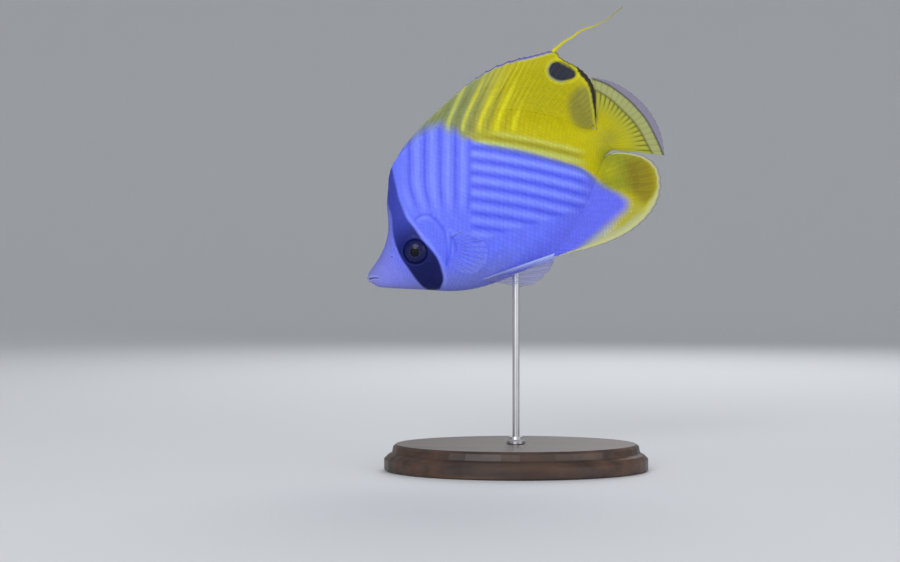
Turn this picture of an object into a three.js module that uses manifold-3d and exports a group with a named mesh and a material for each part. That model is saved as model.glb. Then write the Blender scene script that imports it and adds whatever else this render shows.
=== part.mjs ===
// A threadfin butterflyfish, life size, held nose down on a display stand. Millimetres, +Z up.
// The fish is drawn in its own frame: u runs from the snout to the tail, v up, and its left side is -Y.
// Its plane of symmetry is then pitched nose down and set over the middle of the stand.
import * as THREE from "three";
import { mergeVertices } from "three/addons/utils/BufferGeometryUtils.js";
import Module from "manifold-3d";

const wasm = await Module();
wasm.setup();

// Pose and stand
const PITCH_DEG = 34;
const SNOUT_HEIGHT = 87.3;
const GAP = 0.3;
const FINEST_DETAIL = 0.02;
const BASE_HALF_LENGTH = 60;
const BASE_HALF_WIDTH = 39;
const BASE_HEIGHT = 12;
const ROD_RADIUS = 1.6;
const ROD_IN_BODY = 7;
const ROD_IN_BASE = 8;
const COLLAR_RADIUS = 4.2;
const COLLAR_HEIGHT = 3;

// Body: how long it is to the root of the tail fin, and where its fins stand
const BODY_LENGTH = 124.5;
const DORSAL_START = 41;
const DORSAL_SOFT_START = 88.5;
const DORSAL_END = 122;
const ANAL_START = 73.5;
const ANAL_END = 119.5;
const STALK_START = 117.5;
const NOSE_ROUND = 2.2;

// Head
const EYE_AT = [24.8, -2.6];
const EYE_RADIUS = 5.7;
const EYE_DEPTH = 3.4;
const EYE_PROUD = 1.5;
const NOSTRILS = [[14.6, 1.4], [17.2, 3.6]];
const MOUTH_CORNER = [4.0, -2.9];
const MOUTH_FRONT = -1.1;
const LIP_RADIUS = 0.6;
const GILL_DEPTH = 2.2;
const GILL_RAISE = 0.45;

// Fins
const DORSAL_SPINES = 13;
const DORSAL_RAYS = 23;
const ANAL_SPINES = 3;
const ANAL_RAYS = 20;
const TAIL_RAYS = 17;
const PELVIC_RAYS = 5;
const PECTORAL_RAYS = 14;
const MEMBRANE = 0.3;
const RAY_RIDGE = 0.22;
const SPINE_RIDGE = 0.55;

// Smooth curve through points whose first numbers rise: the height at x.
function smoothLine(points) {
  const slope = points.map((p, i) => {
    const a = points[Math.max(i - 1, 0)];
    const b = points[Math.min(i + 1, points.length - 1)];
    return (b[1] - a[1]) / (b[0] - a[0]);
  });
  return (x) => {
    let i = 0;
    while (i < points.length - 2 && x > points[i + 1][0]) i += 1;
    const [x0, y0] = points[i];
    const [x1, y1] = points[i + 1];
    const w = x1 - x0;
    const t = THREE.MathUtils.clamp((x - x0) / w, 0, 1);
    const t2 = t * t;
    const t3 = t2 * t;
    const ends = (2 * t3 - 3 * t2 + 1) * y0 + (3 * t2 - 2 * t3) * y1;
    return ends + w * ((t3 - 2 * t2 + t) * slope[i] + (t3 - t2) * slope[i + 1]);
  };
}

const mix = THREE.MathUtils.lerp;
const ease = (x, low, high) => THREE.MathUtils.smoothstep(x, low, high);

// The body's outline without its fins, and its half width
const backLine = smoothLine([
  [0, 0.6], [4.4, 2.5], [9.6, 4.5], [15.2, 7.9], [19.6, 12], [22.7, 16.5], [26.1, 22.4],
  [30.3, 27.8], [34.5, 33], [39.7, 36.7], [50, 39.2], [62, 39.4], [75, 37.5], [88, 32.5],
  [100, 24.5], [110, 14.5], [117, 5.5], [121, 0], [BODY_LENGTH, -2.6],
]);
const bellyLine = smoothLine([
  [0, -2.6], [0.8, -4.6], [2.9, -7.1], [10.1, -12.6], [21.1, -20.8], [28.3, -26.2], [36.4, -30.6],
  [43, -33], [52, -35.4], [62, -37.2], [72, -37.9], [80, -36.8], [90, -33.4], [100, -28.2],
  [110, -21.6], [117, -16.5], [121, -14.4], [BODY_LENGTH, -13.9],
]);
const halfWidth = smoothLine([
  [0, 1.9], [3, 2.9], [8, 4.2], [14, 5.8], [20, 7.6], [27, 9.3], [35, 10.3], [45, 10.8],
  [58, 10.6], [72, 9.6], [86, 8], [98, 6.2], [108, 4.7], [116, 3.5], [BODY_LENGTH, 2.7],
]);

// Half width of the flat strip along the back and the belly, where the fins stand
const backStrip = (u) => mix(0.3, 1.5, ease(u, 34, 48)) - 0.4 * ease(u, 95, 122);
const bellyStrip = (u) => mix(0.3, 1.4, ease(u, 62, 78)) - 0.3 * ease(u, 95, 122);

// Half width at station u and height h, which is -1 at the belly line and 1 at the back line.
function sideAt(u, h) {
  const widest = mix(0, -0.12, ease(u, 20, 40));
  const up = h > widest;
  const strip = up ? backStrip(u) : bellyStrip(u);
  const reach = up ? (h - widest) / (1 - widest) : (widest - h) / (1 + widest);
  const stalk = ease(u, 112, 123);
  const keen = up ? ease(u, 28, 52) : ease(u, 58, 82);
  const fullness = mix(mix(0.5, 1.1, keen), 0.6, stalk);
  const roundness = mix(2.1, 2.2, keen);
  return strip + (halfWidth(u) - strip) * (1 - reach ** roundness) ** fullness;
}

// How far the rounded tip of the nose has opened at u.
const noseRound = (u) => (u < NOSE_ROUND ? Math.sqrt(1 - (1 - u / NOSE_ROUND) ** 2) : 1);

// A point of the body's left side, in the fish's frame.
function skinPoint(u, h) {
  const middle = (backLine(u) + bellyLine(u)) / 2;
  const half = (backLine(u) - bellyLine(u)) / 2;
  const nose = noseRound(u);
  return new THREE.Vector3(u, -sideAt(u, h) * nose, middle + half * h * nose);
}

// Half width of the body at the point (u, v) of its plane of symmetry.
function sideOfPoint(u, v) {
  const middle = (backLine(u) + bellyLine(u)) / 2;
  const half = (backLine(u) - bellyLine(u)) / 2;
  return sideAt(u, THREE.MathUtils.clamp((v - middle) / half, -1, 1));
}

// Closed mesh from positions and triangles.
function meshFrom(points, faces) {
  const geometry = new THREE.BufferGeometry().setFromPoints(points);
  geometry.setIndex(faces);
  return geometry;
}

// The same mesh with each point moved out along its normal.
function grown(geometry, distance) {
  const out = geometry.clone();
  out.computeVertexNormals();
  const place = out.getAttribute("position");
  const normal = out.getAttribute("normal");
  for (let i = 0; i < place.count; i += 1) {
    place.setXYZ(
      i,
      place.getX(i) + normal.getX(i) * distance,
      place.getY(i) + normal.getY(i) * distance,
      place.getZ(i) + normal.getZ(i) * distance,
    );
  }
  return out;
}

// A round bar along a curve, its radius given by the share of the way along.
function roundSweep(path, radiusAt, steps, sides) {
  const frames = path.computeFrenetFrames(steps, false);
  const points = [];
  for (let i = 0; i <= steps; i += 1) {
    const at = path.getPointAt(i / steps);
    const radius = radiusAt(i / steps);
    for (let j = 0; j < sides; j += 1) {
      const angle = (2 * Math.PI * j) / sides;
      points.push(at.clone()
        .addScaledVector(frames.normals[i], radius * Math.cos(angle))
        .addScaledVector(frames.binormals[i], radius * Math.sin(angle)));
    }
  }
  const faces = [];
  for (let i = 0; i < steps; i += 1) {
    for (let j = 0; j < sides; j += 1) {
      const a = i * sides + j;
      const b = i * sides + ((j + 1) % sides);
      faces.push(a, b, b + sides, a, b + sides, a + sides);
    }
  }
  const end = steps * sides;
  for (let j = 1; j + 1 < sides; j += 1) {
    faces.push(0, j + 1, j, end, end + j, end + j + 1);
  }
  return meshFrom(points, faces);
}

// A geometry as a solid with its faces pointing out.
function solidOf(geometry) {
  const plain = geometry.clone();
  plain.deleteAttribute("normal");
  plain.deleteAttribute("uv");
  const merged = mergeVertices(plain, 1e-4);
  const triVerts = new Uint32Array(merged.index.array);
  const vertProperties = new Float32Array(merged.getAttribute("position").array);
  const made = new wasm.Manifold(new wasm.Mesh({ numProp: 3, vertProperties, triVerts }));
  if (made.volume() > 0) return made;
  for (let i = 0; i < triVerts.length; i += 3) {
    [triVerts[i + 1], triVerts[i + 2]] = [triVerts[i + 2], triVerts[i + 1]];
  }
  return new wasm.Manifold(new wasm.Mesh({ numProp: 3, vertProperties, triVerts }));
}

// The largest closed surface of a solid.
function largest(solid) {
  return solid.decompose().reduce((a, b) => (a.volume() > b.volume() ? a : b));
}

function geometryOf(solid) {
  const mesh = largest(solid.asOriginal().simplify(FINEST_DETAIL)).getMesh();
  const geometry = new THREE.BufferGeometry();
  geometry.setAttribute("position", new THREE.BufferAttribute(mesh.vertProperties, 3));
  geometry.setIndex(new THREE.BufferAttribute(mesh.triVerts, 1));
  geometry.computeVertexNormals();
  return geometry;
}

// The whole body, from rings of points round it, with a flat end where the tail fin stands.
function bodyMesh() {
  const stations = [];
  const nearNose = 5;
  for (let i = 1; i <= nearNose; i += 1) stations.push(NOSE_ROUND * (i / nearNose) ** 2);
  const lengthwise = 40;
  for (let i = 1; i <= lengthwise; i += 1) {
    const t = i / lengthwise;
    stations.push(mix(NOSE_ROUND, BODY_LENGTH, mix(t, t * t, 0.25)));
  }
  const heights = 13;
  const across = 2 * (heights + 1);
  const points = [new THREE.Vector3(0, 0, (backLine(0) + bellyLine(0)) / 2)];
  for (const u of stations) {
    const side = [];
    for (let i = 0; i <= heights; i += 1) side.push(skinPoint(u, -Math.cos((Math.PI * i) / heights)));
    points.push(...side, ...side.toReversed().map((p) => new THREE.Vector3(p.x, -p.y, p.z)));
  }
  const faces = [];
  for (let j = 0; j < across; j += 1) faces.push(0, 1 + j, 1 + ((j + 1) % across));
  for (let k = 0; k + 1 < stations.length; k += 1) {
    for (let j = 0; j < across; j += 1) {
      const a = 1 + k * across + j;
      const b = 1 + k * across + ((j + 1) % across);
      faces.push(a, a + across, b, b, a + across, b + across);
    }
  }
  const last = 1 + (stations.length - 1) * across;
  for (let j = 0; j < heights; j += 1) {
    const a = last + j;
    const b = last + across - 1 - j;
    faces.push(a, b, a + 1, a + 1, b, b - 1);
  }
  return meshFrom(points, faces);
}

// A prism across the fish from an outline of [u, v] points, between two places across it.
function prism(outline, fromY, toY) {
  const shape = new THREE.Shape(outline.map(([u, v]) => new THREE.Vector2(u, v)));
  const geometry = new THREE.ExtrudeGeometry(shape, { depth: toY - fromY, bevelEnabled: false });
  return geometry.rotateX(Math.PI / 2).translate(0, toY, 0);
}

// Points of a smooth curve through [u, v] points.
function curvePoints(points, count) {
  const curve = new THREE.SplineCurve(points.map(([u, v]) => new THREE.Vector2(u, v)));
  return curve.getSpacedPoints(count).map((p) => [p.x, p.y]);
}

// Where the head ends: down from the nape, round the gill cover and forward under the throat
const HEAD_EDGE = curvePoints(
  [[42, 50], [40.4, 38], [38.4, 28], [37, 17], [38.2, 9.5], [40.4, 3.5], [40.6, -2], [38.6, -8],
    [34.6, -13.5], [31.6, -19], [29.6, -26], [29, -40]],
  30,
);
// The gill cover: its rear edge follows the head's, its front edge stands behind the cheek
const GILL_OUTLINE = [
  ...curvePoints([[34.5, 8.6], [38.6, 7.1], [39.9, 2.8], [40, -2], [38, -7.7], [34, -13.1], [31, -18.6]], 16),
  ...curvePoints([[30.2, -17.4], [31.4, -10], [32.6, -2], [33.2, 5]], 8),
];

function shifted(outline, du) {
  return outline.map(([u, v]) => [u + du, v]);
}

// The two lips: a thin roll round the front of each jaw, dying away at the corners of the mouth.
function lip(drop) {
  const [cornerU, cornerV] = MOUTH_CORNER;
  const points = [];
  const count = 8;
  for (let i = -count; i <= count; i += 1) {
    const s = i / count;
    const u = cornerU * (1 - Math.cos((s * Math.PI) / 2));
    const v = mix(MOUTH_FRONT, cornerV, s * s) + drop * Math.sqrt(1 - 0.6 * s * s);
    points.push(new THREE.Vector3(u, Math.sign(s) * sideOfPoint(u, v) * noseRound(u), v));
  }
  const path = new THREE.CatmullRomCurve3(points);
  const thick = (t) => mix(0.12, LIP_RADIUS, Math.sin(Math.PI * t) ** 0.6);
  return roundSweep(path, thick, 16, 8);
}

// The line of the mouth, cut from the snout's tip back to the corner.
function mouthLine() {
  const [cornerU, cornerV] = MOUTH_CORNER;
  const high = 0.22;
  const outline = [
    [-2, MOUTH_FRONT - high], [cornerU * 0.5, mix(MOUTH_FRONT, cornerV, 0.45) - high],
    [cornerU, cornerV], [cornerU * 0.5, mix(MOUTH_FRONT, cornerV, 0.45) + high], [-2, MOUTH_FRONT + high],
  ];
  return prism(outline, -6, 6);
}

// Stands a geometry drawn about the +Z axis on the skin at the point (u, v), raised along the skin's normal.
function setOnSkin(geometry, side, [u, v], raise) {
  const step = 1.5;
  const wideU = (sideOfPoint(u + step, v) - sideOfPoint(u - step, v)) / (2 * step);
  const wideV = (sideOfPoint(u, v + step) - sideOfPoint(u, v - step)) / (2 * step);
  const normal = new THREE.Vector3(-wideU, side, -wideV).normalize();
  geometry.applyQuaternion(new THREE.Quaternion().setFromUnitVectors(new THREE.Vector3(0, 0, 1), normal));
  const at = new THREE.Vector3(u, side * sideOfPoint(u, v), v).addScaledVector(normal, raise);
  return geometry.translate(at.x, at.y, at.z);
}

// An eyeball on one side: a flattened ball, standing a little proud of the head.
function eyeBall(side, extra) {
  const ball = new THREE.SphereGeometry(1, 20, 12);
  ball.rotateX(Math.PI / 2).scale(EYE_RADIUS + extra, EYE_RADIUS + extra, EYE_DEPTH + extra);
  return setOnSkin(ball, side, EYE_AT, EYE_PROUD - EYE_DEPTH);
}

// The rim of skin round an eye.
function eyeRim(side) {
  return setOnSkin(new THREE.TorusGeometry(EYE_RADIUS + 0.35, 0.8, 8, 22), side, EYE_AT, -0.45);
}

function nostril(side, at, radius, depth) {
  const tube = new THREE.CylinderGeometry(radius, radius * 1.25, depth, 8);
  return setOnSkin(tube.rotateX(Math.PI / 2), side, at, 0);
}

const wholeBody = bodyMesh();
const bodySolid = solidOf(wholeBody);

// Rod: upright, and let into the belly between the pelvic fins
const pitch = THREE.MathUtils.degToRad(PITCH_DEG);
const ROD_AT_U = 57;
const rodFoot = new THREE.Vector3(ROD_AT_U, 0, bellyLine(ROD_AT_U));

// A round bar that stands upright once the fish is pitched, drawn in the fish's frame.
function uprightBar(radius, below, above) {
  const bar = new THREE.CylinderGeometry(radius, radius, below + above, 20);
  bar.translate(0, (above - below) / 2, 0).rotateX(Math.PI / 2).rotateY(pitch);
  return bar.translate(rodFoot.x, rodFoot.y, rodFoot.z);
}

const far = 60;
const headRegion = [[-9, 50], ...HEAD_EDGE, [-9, -40]];
const headCut = solidOf(prism(headRegion, -far, far));
const headCutClear = solidOf(prism([[-9, 50], ...shifted(HEAD_EDGE, GAP), [-9, -40]], -far, far));
const stalkEdge = (du) => [[STALK_START + du, 60], [STALK_START + du, -60], [200, -60], [200, 60]];

function gillCover(side) {
  const [u, v] = [36, -3];
  const inner = sideOfPoint(u, v) - GILL_DEPTH;
  const raised = solidOf(grown(wholeBody, GILL_RAISE));
  const [low, high] = side < 0 ? [-far, -inner] : [inner, far];
  return raised.intersect(solidOf(prism(GILL_OUTLINE, low, high)));
}

// The hollow in the head that a gill cover lies in.
function gillBed(side) {
  const centre = [36, -4];
  const wider = GILL_OUTLINE.map(([u, v]) => {
    const out = new THREE.Vector2(u - centre[0], v - centre[1]);
    out.setLength(out.length() + GAP);
    return [centre[0] + out.x, centre[1] + out.y];
  });
  const inner = sideOfPoint(...centre) - GILL_DEPTH - GAP;
  const [low, high] = side < 0 ? [-far, -inner] : [inner, far];
  return solidOf(prism(wider, low, high));
}

function headSolid() {
  let solid = bodySolid.intersect(headCut);
  solid = solid.add(solidOf(lip(LIP_RADIUS * 0.8))).add(solidOf(lip(-LIP_RADIUS * 0.8)));
  solid = solid.subtract(solidOf(mouthLine()));
  for (const side of [-1, 1]) {
    solid = solid.add(solidOf(eyeRim(side)));
    for (const at of NOSTRILS) solid = solid.add(solidOf(nostril(side, at, 0.7, 0.7)));
    for (const at of NOSTRILS) solid = solid.subtract(solidOf(nostril(side, at, 0.35, 2)));
    solid = solid.subtract(solidOf(eyeBall(side, GAP)));
    solid = solid.subtract(gillBed(side));
  }
  return solid;
}

function torsoSolid() {
  const stalkCut = solidOf(prism(stalkEdge(0), -far, far));
  const socket = solidOf(uprightBar(ROD_RADIUS + GAP, 20, ROD_IN_BODY + GAP));
  return bodySolid.subtract(headCutClear).subtract(stalkCut).subtract(socket);
}

function stalkSolid() {
  return bodySolid.intersect(solidOf(prism(stalkEdge(GAP), -far, far)));
}

// A fin as one closed sheet. Each column is { path(t), side, half(t) } from its root, t = 0, to the
// margin, t = 1: where it runs, which way its faces look, and half its thickness.
// Both faces are split into triangles alike.
function finSheet(columns, rows) {
  const points = [];
  for (const face of [1, -1]) {
    for (const { path, side, half } of columns) {
      for (let i = 0; i <= rows; i += 1) {
        const t = i / rows;
        points.push(path(t).clone().addScaledVector(side, face * half(t)));
      }
    }
  }
  const tall = rows + 1;
  const back = columns.length * tall;
  const faces = [];
  const quad = (a, b, c, d) => faces.push(a, b, c, a, c, d);
  for (let j = 0; j + 1 < columns.length; j += 1) {
    for (let i = 0; i < rows; i += 1) {
      const a = j * tall + i;
      const b = a + tall;
      quad(a, b, b + 1, a + 1);
      faces.push(back + a, back + b + 1, back + b, back + a, back + a + 1, back + b + 1);
    }
    const foot = j * tall;
    quad(foot, foot + back, foot + tall + back, foot + tall);
    const top = foot + rows;
    quad(top, top + tall, top + tall + back, top + back);
  }
  const end = (columns.length - 1) * tall;
  for (let i = 0; i < rows; i += 1) {
    quad(i, i + 1, i + 1 + back, i + back);
    quad(end + i, end + i + back, end + i + 1 + back, end + i + 1);
  }
  return meshFrom(points, faces);
}

const acrossFish = new THREE.Vector3(0, 1, 0);

// A curve in the plane of symmetry, asked for by share of its length.
function marginCurve(points) {
  const curve = new THREE.CatmullRomCurve3(points.map(([u, v]) => new THREE.Vector3(u, 0, v)));
  return (share) => curve.getPointAt(THREE.MathUtils.clamp(share, 0, 1));
}

// A point a gap outside the back line or the belly line.
function rootPoint(line, u, outward) {
  const step = 0.2;
  const along = new THREE.Vector2(2 * step, line(u + step) - line(u - step)).normalize();
  return new THREE.Vector3(u - outward * along.y * GAP, 0, line(u) + outward * along.x * GAP);
}

// Columns of a fin in the plane of symmetry, with a ray at each whole number of k.
// ridge(k) is how far a ray's ridge stands off the membrane, notch(k) how far the margin falls
// back between rays, as shares of the ray, and strip(u) the half thickness at the root.
function midlineColumns({ count, perRay, rootAt, outward, line, margin, strip, ridge, notch, sway }) {
  const columns = [];
  const last = (count - 1) * perRay;
  for (let j = 0; j <= last; j += 1) {
    const k = j / perRay;
    const share = j / last;
    const between = k % 1;
    const u = rootAt(share);
    const root = rootPoint(line, u, outward);
    const tip = margin(share);
    const reach = between ? 1 - notch(k) * Math.sin(Math.PI * between) : 1;
    const peak = between ? 0 : ridge(k);
    columns.push({
      side: acrossFish,
      path: (t) => {
        const at = root.clone().lerp(tip, t * reach);
        at.y = sway(share, t);
        return at;
      },
      half: (t) => MEMBRANE + (strip(u) - MEMBRANE) * (1 - t) ** 4 + peak * (1 - t ** 3) * ease(t, 0, 0.15),
    });
  }
  return columns;
}

// Spiny dorsal fin, folded back so that its spines lie low along the back
const SPINE_TIPS = marginCurve([[48, 40.8], [60, 43.9], [75, 46.4], [90, 48], [103, 47.3], [112.2, 45]]);
function spinyDorsal() {
  return finSheet(midlineColumns({
    count: DORSAL_SPINES,
    perRay: 4,
    rootAt: (share) => mix(DORSAL_START, DORSAL_SOFT_START - GAP * 2, share),
    outward: 1,
    line: backLine,
    margin: SPINE_TIPS,
    strip: backStrip,
    ridge: () => SPINE_RIDGE,
    notch: (k) => mix(0.3, 0.08, k / DORSAL_SPINES),
    sway: () => 0,
  }), 6);
}

// Soft dorsal fin, drawn out at its corner towards the thread
const SOFT_EDGE = marginCurve([
  [113, 44.4], [118.2, 42.2], [122.6, 40.6], [128.6, 38], [128.9, 34.2], [130.4, 30.9], [133.2, 25.6],
  [134.5, 20], [134.4, 15.6], [133.4, 12.4], [131, 8.8], [127.5, 3.9], [124.5, 0.9],
]);
function softDorsal() {
  return finSheet(midlineColumns({
    count: DORSAL_RAYS,
    perRay: 2,
    rootAt: (share) => mix(DORSAL_SOFT_START, DORSAL_END, share ** 0.85),
    outward: 1,
    line: backLine,
    margin: SOFT_EDGE,
    strip: backStrip,
    ridge: () => RAY_RIDGE,
    notch: () => 0.015,
    sway: () => 0,
  }), 7);
}

// The thread that streams from the soft dorsal's corner, swaying to the right side
const THREAD = [
  [128.9, 38.3], [131.2, 38.6], [134.2, 38.9], [139, 38.7], [142.5, 38.9], [146, 38.3], [151.1, 37.1],
  [156.9, 36.6], [160.6, 37.1], [165.6, 37.4],
];
const THREAD_SWAY = 3;
const THREAD_RADII = [0.95, 0.55, 0.25];
function dorsalThread() {
  const sway = (u) => THREAD_SWAY * ((u - THREAD[0][0]) / (THREAD.at(-1)[0] - THREAD[0][0])) ** 2;
  const path = new THREE.CatmullRomCurve3(THREAD.map(([u, v]) => new THREE.Vector3(u, sway(u), v)));
  const [root, middle, tip] = THREAD_RADII;
  return roundSweep(path, (t) => mix(middle, tip, t) + (root - middle) * (1 - t) ** 12, 26, 7);
}

// Anal fin: three spines, then soft rays, in one broad rounded lobe
const ANAL_EDGE = marginCurve([
  [79, -41.3], [86, -43.6], [94, -46.3], [102.4, -48.4], [110.4, -49.4], [118.5, -48.9], [125.4, -47],
  [131.6, -43], [135.4, -37.6], [136.5, -31], [134.6, -25.6], [131, -21.2], [126.8, -17.6], [122.4, -16.1],
]);
function analFin() {
  return finSheet(midlineColumns({
    count: ANAL_SPINES + ANAL_RAYS,
    perRay: 2,
    rootAt: (share) => mix(ANAL_START, ANAL_END, share ** 0.9),
    outward: -1,
    line: bellyLine,
    margin: ANAL_EDGE,
    strip: bellyStrip,
    ridge: (k) => (k < ANAL_SPINES ? SPINE_RIDGE : RAY_RIDGE),
    notch: (k) => (k < ANAL_SPINES ? 0.2 : 0.015),
    sway: () => 0,
  }), 7);
}

// Tail fin: a fan that stands on the flat end of the stalk, swept a little to the right side
const TAIL_EDGE = marginCurve([
  [137.2, 18.2], [142.6, 11.7], [146.4, 4.3], [148.8, -4.5], [149.1, -13.9], [147, -22.6], [143.6, -29.4],
]);
const TAIL_SWEEP = 2.4;
function tailFin() {
  const columns = [];
  const last = (TAIL_RAYS - 1) * 2;
  const low = bellyLine(BODY_LENGTH) + 0.25;
  const high = backLine(BODY_LENGTH) - 0.25;
  for (let j = 0; j <= last; j += 1) {
    const share = j / last;
    const root = new THREE.Vector3(BODY_LENGTH + GAP, 0, mix(high, low, share));
    const tip = TAIL_EDGE(share);
    const peak = j % 2 ? 0 : RAY_RIDGE;
    const rootHalf = mix(0.6, 2.5, Math.sin(Math.PI * share) ** 0.6);
    columns.push({
      side: acrossFish,
      path: (t) => {
        const at = root.clone().lerp(tip, t);
        at.y = TAIL_SWEEP * t * t;
        return at;
      },
      half: (t) => MEMBRANE + (rootHalf - MEMBRANE) * (1 - t) ** 3 + peak * (1 - t ** 3) * ease(t, 0, 0.15),
    });
  }
  return finSheet(columns, 7);
}

function inBody(p) {
  return p.z < backLine(p.x) && p.z > bellyLine(p.x) && Math.abs(p.y) < sideOfPoint(p.x, p.z);
}

// Whether a point stands at least a gap off the body, tried all round it.
const PROBES = new THREE.IcosahedronGeometry(GAP, 0).getAttribute("position");
function isClear(point) {
  const probe = new THREE.Vector3();
  for (let i = 0; i < PROBES.count; i += 1) {
    if (inBody(probe.fromBufferAttribute(PROBES, i).add(point))) return false;
  }
  return true;
}

// A paired fin: a fan of rays from a short root in the body, each begun a gap outside the skin.
// It bows a little out of the plane of its middle ray and its root.
function pairedFin({ root, tips, rays, bow, firstRidge }) {
  const rootLine = new THREE.CatmullRomCurve3(root.map((p) => new THREE.Vector3(...p)));
  const tipLine = new THREE.CatmullRomCurve3(tips.map((p) => new THREE.Vector3(...p)));
  const middleRay = tipLine.getPoint(0.5).sub(rootLine.getPoint(0.5));
  const spread = tipLine.getPoint(1).sub(tipLine.getPoint(0));
  const normal = middleRay.cross(spread).normalize();
  const columns = [];
  const last = (rays - 1) * 2;
  for (let j = 0; j <= last; j += 1) {
    const share = j / last;
    const from = rootLine.getPoint(share);
    const to = tipLine.getPoint(share);
    const ridge = j === 0 ? firstRidge : RAY_RIDGE;
    const peak = j % 2 ? 0 : ridge;
    const path = (t) => from.clone().lerp(to, t).addScaledVector(normal, bow * Math.sin(Math.PI * t));
    const half = (t) => MEMBRANE + 0.5 * (1 - t) ** 4 + peak * (1 - t ** 3);
    let inside = 0;
    let start = 1;
    for (let step = 0; step < 14; step += 1) {
      const middle = (inside + start) / 2;
      const faces = [1, -1].map((face) => path(middle).addScaledVector(normal, face * half(middle)));
      if (faces.every(isClear)) start = middle;
      else inside = middle;
    }
    columns.push({
      side: normal,
      path: (t) => path(mix(start, 1, t)),
      half: (t) => half(mix(start, 1, t)),
    });
  }
  return solidOf(finSheet(columns, 6));
}

// Pectoral fins: swung out from the body and down, as the fish hovers. flip is -1 on the left.
const PECTORAL_ROOT = [[42, -6.6], [39.6, -10], [36.6, -13.2]];
const PECTORAL_SUNK = 2.5;
const PECTORAL_TIPS = [
  [46.6, 24.5, -6.4], [50.4, 31, -10.4], [52.4, 32, -15.6], [51, 29.5, -21.4],
  [46.5, 25, -25.2], [40.8, 20, -25.4], [36.8, 15.5, -22],
];
function pectoralFin(flip) {
  return pairedFin({
    root: PECTORAL_ROOT.map(([u, v]) => [u, flip * (sideOfPoint(u, v) - PECTORAL_SUNK), v]),
    tips: PECTORAL_TIPS.map(([u, out, v]) => [u, flip * out, v]),
    rays: PECTORAL_RAYS,
    bow: flip * 1.4,
    firstRidge: RAY_RIDGE,
  });
}

// Pelvic fins: laid back along the belly on either side of the rod, the right one hanging lower
const PELVIC_ROOT = [[43, 4.8, -29.6], [44.2, 3.9, -31.2], [45.6, 3, -32.6]];
const PELVIC_TIPS = [
  [76.5, 9.6, -38.2], [74.5, 9.4, -40.8], [69, 8.8, -42.8], [62.5, 8, -43.6], [55.5, 6.8, -41],
];
function pelvicFin(flip, droop) {
  return pairedFin({
    root: PELVIC_ROOT.map(([u, out, v]) => [u, flip * out, v]),
    tips: PELVIC_TIPS.map(([u, out, v]) => [u, flip * out, v - droop]),
    rays: PELVIC_RAYS + 1,
    bow: flip * 0.7,
    firstRidge: SPINE_RIDGE,
  });
}

// Stand
function standBase(rodX) {
  const r = 1;
  const edge = 0.06;
  const tall = BASE_HEIGHT;
  const profile = [
    [0, 0], [r - 0.02, 0], [r, 0.8], [r, tall * 0.45], [r - edge * 0.5, tall * 0.6],
    [r - edge, tall * 0.68], [r - edge * 1.15, tall - 1], [r - edge * 1.5, tall], [0, tall],
  ].map(([x, y]) => new THREE.Vector2(x, y));
  const disc = new THREE.LatheGeometry(profile, 44);
  disc.rotateX(Math.PI / 2).scale(BASE_HALF_LENGTH, BASE_HALF_WIDTH, 1);
  const hole = new THREE.CylinderGeometry(ROD_RADIUS + GAP, ROD_RADIUS + GAP, 2 * ROD_IN_BASE, 20);
  hole.rotateX(Math.PI / 2).translate(rodX, 0, BASE_HEIGHT);
  return solidOf(disc).subtract(solidOf(hole));
}

function standCollar(rodX) {
  const inner = ROD_RADIUS + GAP;
  const foot = BASE_HEIGHT + GAP;
  const profile = [
    [inner, 0], [COLLAR_RADIUS, 0], [COLLAR_RADIUS, 1], [COLLAR_RADIUS - 0.8, 1.8],
    [COLLAR_RADIUS - 1.3, COLLAR_HEIGHT], [inner, COLLAR_HEIGHT], [inner, 0],
  ].map(([x, y]) => new THREE.Vector2(x, y));
  return solidOf(new THREE.LatheGeometry(profile, 20).rotateX(Math.PI / 2).translate(rodX, 0, foot));
}

// The finish of each sub-part
const paint = (color, roughness, metalness = 0) =>
  new THREE.MeshStandardMaterial({ color, roughness, metalness });
const finish = {
  pale: paint(0x7c86f2, 0.45),
  yellow: paint(0xc8bd10, 0.5),
  clear: paint(0xb4b8e6, 0.4),
  eye: paint(0x0b0d22, 0.12),
  wood: paint(0x3a2418, 0.4),
  steel: paint(0xb9bcc2, 0.3, 1),
};

const fish = new THREE.Group();
function addTo(group, name, solid, material) {
  const mesh = new THREE.Mesh(geometryOf(solid), material);
  mesh.name = name;
  group.add(mesh);
}

const beside = { left: -1, right: 1 };
addTo(fish, "head", headSolid(), finish.pale);
addTo(fish, "torso", torsoSolid(), finish.pale);
addTo(fish, "tail_stalk", stalkSolid(), finish.yellow);
addTo(fish, "dorsal_fin_spiny", solidOf(spinyDorsal()), finish.yellow);
const softFin = solidOf(softDorsal());
const softClear = solidOf(grown(softDorsal(), GAP));
addTo(fish, "dorsal_fin_soft", softFin, finish.yellow);
addTo(fish, "dorsal_thread", solidOf(dorsalThread()).subtract(softClear), finish.yellow);
addTo(fish, "anal_fin", solidOf(analFin()), finish.yellow);
addTo(fish, "tail_fin", solidOf(tailFin()), finish.yellow);
for (const [name, side] of Object.entries(beside)) {
  addTo(fish, `eye_${name}`, solidOf(eyeBall(side, 0)), finish.eye);
  addTo(fish, `gill_cover_${name}`, gillCover(side), finish.pale);
  addTo(fish, `pectoral_fin_${name}`, pectoralFin(side), finish.clear);
  addTo(fish, `pelvic_fin_${name}`, pelvicFin(side, side > 0 ? 1.6 : 0), finish.clear);
}
fish.rotation.y = -pitch;
fish.updateMatrixWorld(true);
const reach = new THREE.Box3().setFromObject(fish, true);
fish.position.set(-(reach.min.x + reach.max.x) / 2, 0, SNOUT_HEIGHT);
fish.updateMatrixWorld(true);

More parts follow.
